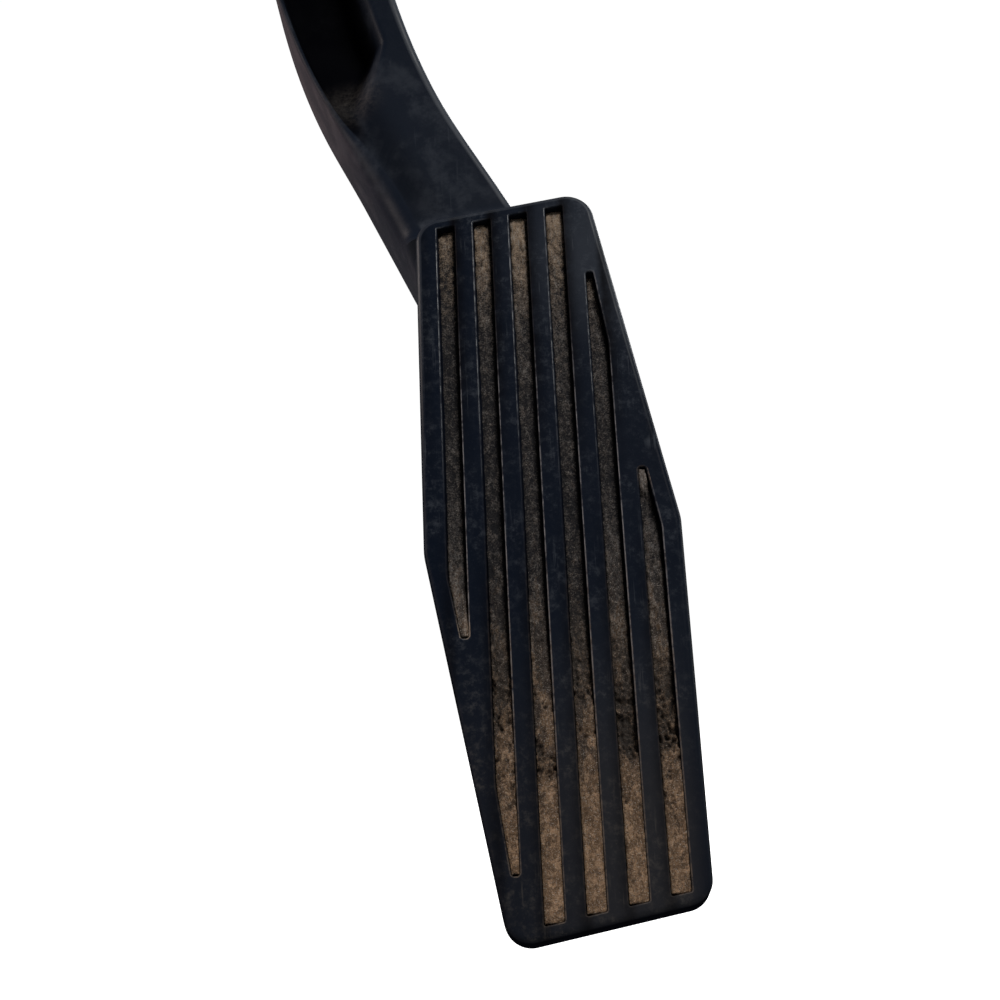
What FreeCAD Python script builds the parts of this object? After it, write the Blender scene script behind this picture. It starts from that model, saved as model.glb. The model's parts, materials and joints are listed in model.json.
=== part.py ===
"""Hanging accelerator pedal of a road vehicle: a moulded arm and pad that turn on a steel shaft in a
bulkhead-mounted housing, with twin return springs, a friction shoe and a contactless angle sensor.

Row frame, millimetres: the origin is on the mounting face, level with the pivot. +Y points into the
bulkhead, +Z is up and +X is to the driver's right. The pad and the arm are drawn in the pad's own frame
(x, v, w), with v up along the pad and w out of its tread, and are then placed in the row frame.
"""
import math
import os

import FreeCAD
import Part

V = FreeCAD.Vector
X_AXIS = V(1, 0, 0)
Y_AXIS = V(0, 1, 0)
Z_AXIS = V(0, 0, 1)

# ---- driving dimensions: pivot, travel and pad position ----
PIVOT_Y = -46.0            # pivot axis to mounting face
TRAVEL = 16.0              # degrees from rest to full throttle
PAD_LEAN = 30.0            # pad leans forward of upright, degrees
PAD_OFFSET = 47.5          # pad centre to the right of the hub
PIVOT_RISE = 200.0         # pivot above the pad centre, measured along the pad
PIVOT_PROUD = 4.0          # pivot in front of the tread plane

# ---- pad ----
PAD_HALF_WIDTH = 24.0
PAD_TOP_SHORT = 69.0       # height of the upper corner on the straight side
PAD_TOP_LONG = 74.2        # height of the upper corner on the slanting side
PAD_TOP_CORNER = 10.8      # where the upper slanting side meets the upper end
PAD_LOW_SHORT = 68.1       # drop of the lower corner on the straight side
PAD_LOW_LONG = 74.6        # drop of the lower corner on the slanting side
PAD_LOW_CORNER = 11.25     # where the lower slanting side meets the lower end
PAD_KINK = 2.4             # height of the kink in each side
PAD_THICK = 7.0
PAD_SHELL = 4.0            # tread thickness in front of the foot plate
PAD_RIM = 2.2              # rim around the foot plate
PAD_CORNER_R = 5.0
PAD_KINK_R = 14.0
PAD_EDGE_R = 1.2
GROOVE_PITCH = 7.3
GROOVE_WIDTH = 3.6
GROOVE_DEPTH = 2.5
GROOVE_SHIFT = 0.3         # the grooves' pattern to the right of the pad's middle
TOP_MARGIN = 2.4           # groove end to the pad's upper end
LOW_MARGIN = 2.4           # groove end to the pad's lower end
GROOVE_EDGE = 0.35         # chamfer along the groove's lip
GROOVE_TIP = 1.5           # width of a tapered groove's tip
TOP_TIPS = (55.5, 12.8)    # height where the fifth and sixth grooves start
TOP_TAPERS = (15.8, 12.0)
LOW_TIPS = (-19.2, -62.4)  # height where the first and second grooves end
LOW_TAPERS = (12.0, 15.8)
STAKE_R = 2.2
STAKE_HEAD_R = 4.0
STAKE_HEAD = 1.6

# ---- arm ----
ARM_HALF_WIDTH = 12.0
ARM_HALF_DEPTH = 12.0
LEFT_SWEEP_R = 155.0       # sideways sweep of the arm's two edges, seen from the tread side
RIGHT_SWEEP_R = 200.0
LEFT_SWEEP_START = 174.0   # height where each edge's sweep begins
RIGHT_SWEEP_START = 185.0
ARM_BEND = 17.0            # bend of the arm in side view, degrees
ARM_BEND_R = 120.0
ARM_EDGE_R = 1.6
ARM_FACE = -9.0            # the arm's front face behind the tread plane
FOOT_PLATE = 3.0
FOOT_EDGE = 0.6            # foot plate set in from the pad's outline
FIT_GAP = 0.2
SPINE_TIP = -30.0          # lower end of the spine behind the pad
SPINE_TIP_DEPTH = 4.5
WALL = 3.0
RIB = 2.0
POCKET_DEPTH = 8.5
RIB_COUNT = 8
TROUGH_R = 9.2
TROUGH_START = 98.0
TROUGH_FULL = 138.0
TROUGH_END = 170.0
TROUGH_DEPTH = 8.2

# ---- hub, shaft and bearings ----
HUB_R = 15.0
HUB_HALF = 12.5
SHAFT_R = 4.0
BUSH_WALL = 1.6
BUSH_FLANGE = 1.2
BUSH_FLANGE_R = 8.0
SHAFT_CLEAR = 0.04
HUB_PLAY = 0.3             # hub face to bush flange, each side
SHAFT_SENSOR_PROUD = 5.4   # shaft beyond the housing's right wall
SHAFT_CLIP_PROUD = 2.4     # shaft beyond the side cover
CLIP_R = 6.2
CLIP_THICK = 0.8

# ---- tail and rocker ----
TAIL_LENGTH = 28.0
TAIL_END_R = 8.5
TAIL_HALF = 11.0
ROCKER_R = 5.0
ROCKER_HALF = 9.0
ROCKER_CLEAR = 0.1
ROCKER_PLATE = 2.5
ROCKER_PLATE_R = 10.5

# ---- return springs ----
OUTER_COIL_R = 7.5
OUTER_WIRE = 2.0
OUTER_TURNS = 7.5
INNER_COIL_R = 4.5
INNER_WIRE = 1.3
INNER_TURNS = 9.5
SPIGOT_R = 3.6
RING_R = 5.9               # ridge that keeps the two springs apart
RING_WALL = 0.7
SPIGOT_LENGTH = 4.0
SPRING_GAP = 0.05

# ---- housing ----
SHELL_R = 23.0
CHAMBER_TOP = 37.0
CHAMBER_FLOOR = -16.0
CHAMBER_FRONT = -6.0
CHAMBER_REAR = -30.0
CORNER_R = 4.0
FLANGE_THICK = 5.0
EAR_R = 10.0
EAR_BOSS = 9.0
BOLT_R = 3.3
SLEEVE_R = 4.6
LEFT_BOLT_X = -34.0
LEFT_BOLT_Z = 32.0
RIGHT_BOLT_X = 38.0
RIGHT_BOLT_Z = -30.0
SHELF_END = -29.0          # the floor stops here to let the arm out
ARM_GATE_TOP = -7.0

# ---- stops ----
STOP_GAP = 0.25
TAB_THICK = 3.0
TAB_HALF = 8.0
TAB_DROP = 21.0
BUMPER_R = 5.0
BUMPER_STEM_R = 2.2

# ---- friction shoe ----
SHOE_ANGLE = 140.0         # around the pivot, from +Y towards +Z
SHOE_R = 5.0
SHOE_CLEAR = 0.15
SHOE_LENGTH = 7.0
SHOE_BOSS_R = 8.0
SHOE_SPRING = 8.6
SHOE_SPRING_COIL_R = 3.4
SHOE_SPRING_WIRE = 1.1
SHOE_SPRING_TURNS = 5.5
SHOE_PLUG = 5.0
SHOE_PLUG_HEAD = 2.0
SHOE_HEX = 4.0

# ---- screws ----
SCREW_R = 1.6
SCREW_HEAD_R = 3.3
SCREW_HEAD = 2.2
SCREW_LENGTH = 12.0
SCREW_BOSS_R = 4.2
SCREW_SLOT = 1.0

# ---- sensor ----
RING_OUT_R = 21.5
RING_IN_R = 18.3
SENSOR_DEPTH = 10.0        # sensor ring beyond the housing's right wall
COVER_RIM = 3.0
COVER_PLATE = 2.4
SEAL_R = 19.9
SEAL_WIRE_R = 0.6
ROTOR_R = 9.5
ROTOR_THICK = 2.4
ROTOR_GAP = 1.0
MAGNET_IN_R = 5.2
MAGNET_OUT_R = 8.8
MAGNET_THICK = 2.0
MAGNET_SPLIT = 0.8
BOARD_THICK = 1.6
BOARD_GAP = 0.3
CHIP_SIZE = 4.6
CHIP_THICK = 1.3
POST_R = 2.0
POST_RADIUS = 15.2
LUG_RADIUS = 25.0
LUG_ANGLES = (30.0, 150.0, 270.0)

# ---- connector ----
SHROUD_WIDTH = 27.0
SHROUD_DEPTH = 14.0
SHROUD_WALL = 1.8
SHROUD_BOTTOM = 24.5
SHROUD_TOP = 47.0
SHROUD_FLOOR = 4.0
PIN_COUNT = 6
PIN_PITCH = 3.5
PIN_WIDTH = 1.5
PIN_THICK = 0.8
PIN_TOP_GAP = 6.0          # tips below the shroud's mouth
PIN_ROW_Z = 14.0           # where the pins turn into the board

# ---- derived places ----
LEAN = math.radians(PAD_LEAN)
PAD_UP = V(0, math.sin(LEAN), math.cos(LEAN))
PAD_OUT = V(0, -math.cos(LEAN), math.sin(LEAN))
PIVOT = V(0, PIVOT_Y, 0)
PAD_CENTRE = PIVOT - PAD_UP * PIVOT_RISE - PAD_OUT * PIVOT_PROUD + X_AXIS * PAD_OFFSET
TAIL_REST = math.radians(TRAVEL / 2)
ROCKER_AXIS = PIVOT + V(0, TAIL_LENGTH * math.cos(TAIL_REST), -TAIL_LENGTH * math.sin(TAIL_REST))
CHAMBER_HALF = HUB_HALF + HUB_PLAY + BUSH_FLANGE
OUTER_WALL = CHAMBER_HALF + WALL
SHAFT_SENSOR_END = OUTER_WALL + SHAFT_SENSOR_PROUD
SHAFT_FREE_END = -(OUTER_WALL + SHAFT_CLIP_PROUD)
SENSOR_END = OUTER_WALL + SENSOR_DEPTH
COVER_END = SENSOR_END + COVER_RIM + COVER_PLATE
ROTOR_X = OUTER_WALL + ROTOR_GAP
BOARD_X = SENSOR_END - BOARD_THICK - 0.4
SEAT_FACE = CHAMBER_TOP + CORNER_R - WALL - 4.0
LOWER_FACE = ROCKER_AXIS.z + ROCKER_R + ROCKER_PLATE
SCREW_PLACES = (
    (CHAMBER_FRONT - 2.0, CHAMBER_TOP + CORNER_R + 2.5),
    (CHAMBER_REAR - 5.5, CHAMBER_TOP + 4.0),
    (PIVOT_Y - SHELL_R - 2.5, -2.2),
    (CHAMBER_FRONT - 3.5, CHAMBER_FLOOR - CORNER_R - 2.6),
)


# ---- drawing helpers ----
def pad_point(x, v, w):
    """A point of the pad's frame in the row frame."""
    return V(x, PAD_CENTRE.y, PAD_CENTRE.z) + PAD_UP * v + PAD_OUT * w


def joined(first, *others):
    """One solid from touching ones."""
    return first.fuse(list(others)).removeSplitter()


def cut(solid, *tools):
    """The solid less every tool."""
    return solid.cut(list(tools))


def prism(edges, direction):
    """The closed outline swept along a straight line."""
    return Part.Face(Part.Wire(Part.__sortEdges__(edges))).extrude(direction)


def rounded_edges(corners, place):
    """Edges of a closed outline. corners are (a, b, radius); place turns (a, b) into a point."""
    entries = []
    for i, (a, b, radius) in enumerate(corners):
        before, after = corners[i - 1], corners[(i + 1) % len(corners)]
        here = V(a, b, 0)
        back = (V(before[0], before[1], 0) - here).normalize()
        on = (V(after[0], after[1], 0) - here).normalize()
        half = back.getAngle(on) / 2
        run = radius / math.tan(half)
        middle = (back + on).normalize() * (radius / math.sin(half) - radius)
        entries.append((here + back * run, here + middle, here + on * run, radius))
    edges = []
    for i, (start, middle, end, radius) in enumerate(entries):
        if radius > 0:
            edges.append(Part.Arc(*(place(p.x, p.y) for p in (start, middle, end))).toShape())
        nxt = entries[(i + 1) % len(entries)][0]
        if (nxt - end).Length > 1e-6:
            edges.append(Part.LineSegment(place(end.x, end.y), place(nxt.x, nxt.y)).toShape())
    return edges


def hull_edges(circles, place):
    """Edges of the tight band around circles (a, b, radius), given anticlockwise."""
    normals = []
    for i, (a, b, r) in enumerate(circles):
        na, nb, nr = circles[(i + 1) % len(circles)]
        along = V(na - a, nb - b, 0)
        length = along.Length
        along.normalize()
        share = (r - nr) / length
        normals.append(along * share + V(along.y, -along.x, 0) * math.sqrt(1 - share * share))
    edges = []
    for i, (a, b, r) in enumerate(circles):
        centre = V(a, b, 0)
        into, out = normals[i - 1], normals[i]
        middle = (into + out).normalize()
        points = [centre + n * r for n in (into, middle, out)]
        edges.append(Part.Arc(*(place(p.x, p.y) for p in points)).toShape())
        na, nb, nr = circles[(i + 1) % len(circles)]
        far = V(na, nb, 0) + out * nr
        edges.append(Part.LineSegment(place(points[2].x, points[2].y), place(far.x, far.y)).toShape())
    return edges


def inset(corners, distance):
    """The straight-sided outline moved in by a distance, with its corner radii to match."""
    moved = []
    for i, (a, b, radius) in enumerate(corners):
        before, after = corners[i - 1], corners[(i + 1) % len(corners)]
        d_in = V(a - before[0], b - before[1], 0).normalize()
        d_out = V(after[0] - a, after[1] - b, 0).normalize()
        n_in, n_out = V(d_in.y, -d_in.x, 0), V(d_out.y, -d_out.x, 0)
        shift = (n_in + n_out) * (distance / (1 + n_in.dot(n_out)))
        moved.append((a + shift.x, b + shift.y, max(radius - distance, 0.3)))
    return moved


def cylinder_x(radius, low, high, y, z):
    return Part.makeCylinder(radius, high - low, V(low, y, z), X_AXIS)


def cylinder_y(radius, low, high, x, z):
    return Part.makeCylinder(radius, high - low, V(x, low, z), Y_AXIS)


def block(x, y, z):
    """A box from three (low, high) pairs."""
    return Part.makeBox(x[1] - x[0], y[1] - y[0], z[1] - z[0], V(x[0], y[0], z[0]))


def side_prism(edges_of, circles, low, high):
    """A YZ outline around circles, from X = low to X = high."""
    return prism(edges_of(circles, lambda a, b: V(low, a, b)), X_AXIS * (high - low))


def coil(coil_r, wire, turns, length, base, direction):
    """A helical spring with ground ends, between two flat seats."""
    pitch = (length - wire) / (turns - 1.0)
    height = turns * pitch
    spine = Part.makeHelix(pitch, height, coil_r)
    ring = Part.Wire(Part.makeCircle(wire / 2, V(coil_r, 0, 0), Y_AXIS))
    swept = Part.Wire(spine).makePipeShell([ring], True, True)
    swept.translate(Z_AXIS * (length - height) / 2)
    ground = swept.common(Part.makeCylinder(coil_r + wire, length))
    ground.Placement = FreeCAD.Placement(base, FreeCAD.Rotation(Z_AXIS, direction))
    return ground


def around_pivot(radius, degrees, x=0.0):
    angle = math.radians(degrees)
    return V(x, PIVOT.y + radius * math.cos(angle), PIVOT.z + radius * math.sin(angle))


# ---- pad ----
def pad_corners():
    """The six-sided outline, clockwise from its upper left corner."""
    return [
        (-PAD_HALF_WIDTH, PAD_TOP_SHORT, PAD_CORNER_R),
        (PAD_TOP_CORNER, PAD_TOP_LONG, PAD_CORNER_R),
        (PAD_HALF_WIDTH, PAD_KINK, PAD_KINK_R),
        (PAD_HALF_WIDTH, -PAD_LOW_SHORT, PAD_CORNER_R),
        (-PAD_LOW_CORNER, -PAD_LOW_LONG, PAD_CORNER_R),
        (-PAD_HALF_WIDTH, -PAD_KINK, PAD_KINK_R),
    ]


def pad_plate(corners, front, back):
    """A plate of that outline between two depths."""
    edges = rounded_edges(corners, lambda a, b: pad_point(PAD_OFFSET + a, b, back))
    return prism(edges, PAD_OUT * (front - back))


def end_height(a, upper):
    """Height of the pad's upper or lower end at sideways place a."""
    corners = pad_corners()
    (x0, v0, _), (x1, v1, _) = corners[0:2] if upper else corners[3:5]
    return v0 + (v1 - v0) * (a - x0) / (x1 - x0)


def groove_corners(index):
    """Outline of groove 0 to 5, clockwise from its upper left. The outer ones taper beside a slanting side."""
    centre = (index - 2.5) * GROOVE_PITCH + GROOVE_SHIFT
    left, right = centre - GROOVE_WIDTH / 2, centre + GROOVE_WIDTH / 2
    tip_r = GROOVE_TIP / 2 * 0.8
    if index < 4:
        top = [(a, end_height(a, True) - TOP_MARGIN, 0.3) for a in (left, right)]
    else:
        tip, taper = TOP_TIPS[index - 4], TOP_TAPERS[index - 4]
        top = [(left, tip, tip_r), (left + GROOVE_TIP, tip, tip_r), (right, tip - taper, 6.0)]
    if index > 1:
        return top + [(a, end_height(a, False) + LOW_MARGIN, 0.3) for a in (right, left)]
    tip, taper = LOW_TIPS[index], LOW_TAPERS[index]
    return top + [(right, tip, tip_r), (right - GROOVE_TIP, tip, tip_r), (left, tip + taper, 6.0)]


def stake_places():
    """Where the pad is staked through the foot plate, clear of the spine."""
    side = PAD_HALF_WIDTH - 8.5
    return ((6.8, 63.0), (-side, 14.0), (side, -16.0), (side - 1.5, -52.0), (-5.0, -56.0))


def pedal_pad():
    body = pad_plate(pad_corners(), 0, -PAD_THICK)
    rim = [e for e in body.Edges if abs((e.CenterOfMass - PAD_CENTRE).dot(PAD_OUT)) < 1e-6]
    body = body.makeFillet(PAD_EDGE_R, rim)
    for index in range(6):
        body = body.cut(pad_plate(groove_corners(index), 1, -GROOVE_DEPTH))
    face = max((f for f in body.Faces if abs(f.normalAt(0, 0).dot(PAD_OUT) - 1) < 1e-6
                and abs((f.CenterOfMass - PAD_CENTRE).dot(PAD_OUT)) < 1e-6), key=lambda f: f.Area)
    outline = face.OuterWire
    lip_edges = [e for w in face.Wires if not w.isSame(outline) for e in w.Edges]
    body = body.makeChamfer(GROOVE_EDGE, lip_edges)
    recess = pad_plate(inset(pad_corners(), PAD_RIM), -PAD_SHELL, -PAD_THICK - 1)
    body = body.cut(recess)
    stakes = []
    for a, b in stake_places():
        root = pad_point(PAD_OFFSET + a, b, -PAD_SHELL)
        depth = PAD_THICK - PAD_SHELL + FOOT_PLATE
        stakes.append(Part.makeCylinder(STAKE_R, depth + STAKE_HEAD / 2, root, -PAD_OUT))
        stakes.append(stake_head(a, b))
    return joined(body, *stakes)


def stake_head(a, b):
    """A domed head behind the foot plate."""
    base = pad_point(PAD_OFFSET + a, b, -PAD_THICK - FOOT_PLATE)
    head = Part.makeCylinder(STAKE_HEAD_R, STAKE_HEAD, base, -PAD_OUT)
    far = [e for e in head.Edges if abs((e.CenterOfMass - base).dot(PAD_OUT) + STAKE_HEAD) < 1e-6]
    return head.makeFillet(STAKE_HEAD * 0.7, far)


# ---- arm ----
def edge_line(side):
    """Points (x, v) of the arm's left (-1) or right (+1) edge below its sweep, going down."""
    if side < 0:
        return [(PAD_OFFSET - 23.0, 60.0), (PAD_OFFSET - 11.0, 30.0), (PAD_OFFSET - 5.0, SPINE_TIP)]
    return [(PAD_OFFSET - 3.8, 76.0), (PAD_OFFSET + 12.5, 40.0), (PAD_OFFSET + 7.0, SPINE_TIP)]


def sweep_start(side):
    return LEFT_SWEEP_START if side < 0 else RIGHT_SWEEP_START


def sweep_end():
    """Height where the sweep gives way to straight edges, level with the end of the side bend."""
    return bend_places()[1][0]


def edge_x(v, side):
    """Sideways place of the arm's left (-1) or right (+1) edge at height v."""
    if v >= sweep_end():
        radius = LEFT_SWEEP_R if side < 0 else RIGHT_SWEEP_R
        drop = max(sweep_start(side) - v, 0.0)
        return side * ARM_HALF_WIDTH + radius - math.sqrt(radius ** 2 - drop ** 2)
    above = (edge_x(sweep_end(), side), sweep_end())
    for below in edge_line(side):
        if v >= below[1]:
            share = (above[1] - v) / (above[1] - below[1])
            return above[0] + share * (below[0] - above[0])
        above = below
    return above[0]


def middle_x(v):
    """Sideways middle of the arm at height v."""
    return (edge_x(v, -1) + edge_x(v, 1)) / 2


def plan_edges(margin, top, bottom, depth):
    """The arm seen from the tread side, set in by margin, between two heights."""
    place = lambda a, b: pad_point(a, b, depth)
    edges = []
    ends = []
    for side in (-1, 1):
        spot = lambda v: (edge_x(v, side) - side * margin, v)
        start = min(top, sweep_start(side))
        chain = [v for _, v in edge_line(side) if v > bottom]
        heights = [sweep_end()] + chain + [bottom]
        if top > start:
            edges.append(line(place, spot(top), spot(start)))
        arc = [place(*spot(v)) for v in (start, (start + sweep_end()) / 2, sweep_end())]
        edges.append(Part.Arc(*arc).toShape())
        for high, low in zip(heights, heights[1:]):
            edges.append(line(place, spot(high), spot(low)))
        ends.append((spot(top), spot(bottom)))
    edges.append(line(place, ends[0][0], ends[1][0]))
    edges.append(line(place, ends[0][1], ends[1][1]))
    return edges


def line(place, p, q):
    return Part.LineSegment(place(*p), place(*q)).toShape()


def bend_places():
    """Tangent points of the arm's centreline bend, in (v, w), and the centre of the bend."""
    bend = math.radians(ARM_BEND)
    middle = ARM_FACE - ARM_HALF_DEPTH
    corner_v = PIVOT_RISE - (PIVOT_PROUD - middle) / math.tan(bend)
    run = ARM_BEND_R * math.tan(bend / 2)
    upper = (corner_v + run * math.cos(bend), middle + run * math.sin(bend))
    lower = (corner_v - run, middle)
    return upper, lower, (lower[0], middle + ARM_BEND_R)


def side_chain(offset):
    """Points of a line beside the arm's centreline: hub end, bend start, bend middle, bend end."""
    bend = math.radians(ARM_BEND)
    upper, lower, centre = bend_places()
    normal = (-math.sin(bend), math.cos(bend))
    radius = ARM_BEND_R - offset
    hub = (PIVOT_RISE + normal[0] * offset, PIVOT_PROUD + normal[1] * offset)
    start = (upper[0] + normal[0] * offset, upper[1] + normal[1] * offset)
    middle = (centre[0] + radius * math.sin(bend / 2), centre[1] - radius * math.cos(bend / 2))
    return hub, start, middle, (lower[0], lower[1] + offset)


def arm_side_solid(front, back, low_front, low_back):
    """The arm in side view between two offsets of its centreline, swept across X.
    low_front and low_back are the (v, w) points that close it at its lower end."""
    left = -ARM_HALF_WIDTH - 30.0
    place = lambda v, w: pad_point(left, v, w)
    edges = []
    ends = []
    for offset, low in ((front, low_front), (back, low_back)):
        hub, start, middle, end = side_chain(offset)
        edges.append(line(place, hub, start))
        edges.append(Part.Arc(place(*start), place(*middle), place(*end)).toShape())
        chain = [end] + low
        for p, q in zip(chain, chain[1:]):
            edges.append(line(place, p, q))
        ends.append((hub, chain[-1]))
    edges.append(line(place, ends[0][0], ends[1][0]))
    edges.append(line(place, ends[0][1], ends[1][1]))
    return prism(edges, X_AXIS * (PAD_OFFSET + PAD_HALF_WIDTH + 60.0))


def arm_beam():
    """The solid beam: its plan and its side view, intersected, with its long front edges rounded."""
    deep = ARM_FACE - 2 * ARM_HALF_DEPTH
    plan = prism(plan_edges(0, PIVOT_RISE + 20, SPINE_TIP, deep - 30), PAD_OUT * 100)
    side = arm_side_solid(ARM_HALF_DEPTH, -ARM_HALF_DEPTH, [(SPINE_TIP - 5, ARM_FACE)],
                          [(62.0, deep), (SPINE_TIP - 5, ARM_FACE - SPINE_TIP_DEPTH)])
    beam = plan.common(side).Solids[0]
    long_edges = []
    for e in beam.Edges:
        spot = e.valueAt((e.FirstParameter + e.LastParameter) / 2)
        v, w = (spot - PAD_CENTRE).dot(PAD_UP), (spot - PAD_CENTRE).dot(PAD_OUT)
        faces = beam.ancestorsOfType(e, Part.Face)
        walls = [f for f in faces if abs(f.normalAt(*f.Surface.parameter(spot)).x) > 0.4]
        if len(walls) == 1 and v < PIVOT_RISE - 8 and abs(w - front_height(v)) < 0.5:
            long_edges.append(e)
    return beam.makeFillet(ARM_EDGE_R, long_edges)


def front_height(v):
    """Height of the arm's front face at v, above or below the tread plane."""
    bend = math.radians(ARM_BEND)
    _, start, _, end = side_chain(ARM_HALF_DEPTH)
    centre = bend_places()[2]
    if v <= end[0]:
        return end[1]
    if v >= start[0]:
        return start[1] + (v - start[0]) * math.tan(bend)
    radius = ARM_BEND_R - ARM_HALF_DEPTH
    return centre[1] - math.sqrt(radius ** 2 - (v - centre[0]) ** 2)


def trough():
    """A round-bottomed scoop in the front face, deepening from the pad towards the hub."""
    rings = []
    count = 7
    for i in range(count):
        v = TROUGH_START + (TROUGH_END - TROUGH_START) * i / (count - 1)
        share = min((v - TROUGH_START) / (TROUGH_FULL - TROUGH_START), 1.0)
        depth = TROUGH_DEPTH * share * share * (3 - 2 * share)
        centre = pad_point(middle_x(v), v, front_height(v) + TROUGH_R - depth)
        rings.append(Part.Wire(Part.makeCircle(TROUGH_R, centre, PAD_UP)))
    return Part.makeLoft(rings, True, False)


def back_pockets():
    """Ribbed lightening pockets in the back face."""
    deep = ARM_FACE - 2 * ARM_HALF_DEPTH
    top, bottom = TROUGH_END - 6.0, 34.0
    plan = prism(plan_edges(WALL, top, bottom, deep - 30), PAD_OUT * 100)
    inner = -ARM_HALF_DEPTH + POCKET_DEPTH
    band = arm_side_solid(inner, -ARM_HALF_DEPTH - 6, [(bottom - 20, ARM_FACE - ARM_HALF_DEPTH + inner)],
                          [(bottom - 20, deep - 6)])
    pocket = plan.common(band)
    ribs = []
    step = (top - bottom) / RIB_COUNT
    for i in range(RIB_COUNT):
        low, high = bottom + i * step, bottom + (i + 1) * step
        centre_low, centre_high = middle_x(low), middle_x(high)
        lean = ARM_HALF_WIDTH * (1 if i % 2 else -1)
        start = pad_point(centre_low - lean, low, deep - 20)
        end = pad_point(centre_high + lean, high, deep - 20)
        along = end - start
        across = along.cross(PAD_OUT).normalize() * (RIB / 2)
        corners = [start - across, end - across, end + across, start + across, start - across]
        ribs.append(Part.Face(Part.makePolygon(corners)).extrude(PAD_OUT * 60))
    return pocket.cut(ribs)


def tail():
    """The lever forward of the hub that lifts the springs, with an open half-round socket."""
    circles = [(PIVOT.y, PIVOT.z, 9.0), (ROCKER_AXIS.y, ROCKER_AXIS.z, TAIL_END_R)]
    solid = side_prism(hull_edges, circles, -TAIL_HALF, TAIL_HALF)
    reach = TAIL_END_R + 4
    above = block((-TAIL_HALF - 1, TAIL_HALF + 1), (ROCKER_AXIS.y - ROCKER_PLATE_R - 1.5, ROCKER_AXIS.y + reach),
                  (ROCKER_AXIS.z + 0.8, ROCKER_AXIS.z + reach))
    socket = cylinder_x(ROCKER_R + ROCKER_CLEAR, -ROCKER_HALF - 0.3, ROCKER_HALF + 0.3,
                        ROCKER_AXIS.y, ROCKER_AXIS.z)
    return cut(solid, above, socket)


def foot():
    """The plate behind the pad, with a tongue that fills the pad's recess."""
    flange = pad_plate(inset(pad_corners(), FOOT_EDGE), -PAD_THICK, -PAD_THICK - FOOT_PLATE)
    tongue = pad_plate(inset(pad_corners(), PAD_RIM + FIT_GAP), -PAD_SHELL, -PAD_THICK)
    return flange.fuse(tongue)


def pedal_arm():
    hub = cylinder_x(HUB_R, -HUB_HALF, HUB_HALF, PIVOT.y, PIVOT.z)
    beam = cut(arm_beam(), trough(), back_pockets())
    solid = joined(beam, hub, tail(), foot())
    holes = [cylinder_x(SHAFT_R, -HUB_HALF - 1, HUB_HALF + 1, PIVOT.y, PIVOT.z)]
    for a, b in stake_places():
        far = pad_point(PAD_OFFSET + a, b, -PAD_THICK - FOOT_PLATE)
        holes.append(Part.makeCylinder(STAKE_R, FOOT_PLATE + PAD_THICK, far, PAD_OUT))
        holes.append(Part.makeCylinder(STAKE_HEAD_R + 0.4, 30, far, -PAD_OUT))
    return cut(solid, *holes)


# ---- shaft group ----
def pivot_shaft():
    solid = cylinder_x(SHAFT_R, SHAFT_FREE_END, SHAFT_SENSOR_END, PIVOT.y, PIVOT.z)
    groove_x = -OUTER_WALL - 0.3 - CLIP_THICK
    ring = cut(cylinder_x(SHAFT_R + 1, groove_x, groove_x + CLIP_THICK, PIVOT.y, PIVOT.z),
               cylinder_x(SHAFT_R - 0.8, groove_x - 1, groove_x + CLIP_THICK + 1, PIVOT.y, PIVOT.z))
    flat = block((ROTOR_X, SHAFT_SENSOR_END + 1), (PIVOT.y - 5, PIVOT.y + 5),
                 (PIVOT.z + SHAFT_R - 1, PIVOT.z + SHAFT_R + 1))
    ends = [e for e in solid.Edges if e.Curve.TypeId == "Part::GeomCircle"]
    return cut(solid.makeChamfer(0.5, ends), ring, flat)


def shaft_clip():
    """An open retaining ring in the shaft's groove."""
    low = -OUTER_WALL - 0.3 - CLIP_THICK
    high = low + CLIP_THICK
    ring = cut(cylinder_x(CLIP_R, low, high, PIVOT.y, PIVOT.z),
               cylinder_x(SHAFT_R - 0.8, low - 1, high + 1, PIVOT.y, PIVOT.z))
    mouth = block((low - 1, high + 1), (PIVOT.y - 2.4, PIVOT.y + 2.4), (PIVOT.z - CLIP_R - 1, PIVOT.z))
    windows = [cylinder_x(1.1, low - 1, high + 1, *around_pivot(SHAFT_R + 0.2, a)[1:]) for a in (30, 150)]
    return cut(ring, mouth, *windows)


def flanged_bush(side):
    """A plain bearing pressed into one side wall, its flange inside the chamber."""
    inner, outer = CHAMBER_HALF, OUTER_WALL
    low, high = (inner, outer) if side > 0 else (-outer, -inner)
    flange_low, flange_high = (inner - BUSH_FLANGE, inner) if side > 0 else (-inner, -inner + BUSH_FLANGE)
    body = cylinder_x(SHAFT_R + BUSH_WALL, low, high, PIVOT.y, PIVOT.z)
    flange = cylinder_x(BUSH_FLANGE_R, flange_low, flange_high, PIVOT.y, PIVOT.z)
    bore = cylinder_x(SHAFT_R + SHAFT_CLEAR, -outer - 1, outer + 1, PIVOT.y, PIVOT.z)
    return cut(body.fuse(flange), bore)


# ---- spring group ----
def spring_end(face, up):
    """Spigot and ridge that centre the two springs, standing from a face."""
    base = V(0, ROCKER_AXIS.y, face)
    direction = Z_AXIS * up
    spigot = Part.makeCylinder(SPIGOT_R, SPIGOT_LENGTH, base, direction)
    far = [e for e in spigot.Edges if abs(e.CenterOfMass.z - face - up * SPIGOT_LENGTH) < 1e-6]
    ridge = cut(Part.makeCylinder(RING_R + RING_WALL / 2, SPIGOT_LENGTH * 0.6, base, direction),
                Part.makeCylinder(RING_R - RING_WALL / 2, SPIGOT_LENGTH, base, direction))
    return spigot.makeFillet(0.8, far), ridge


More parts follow.
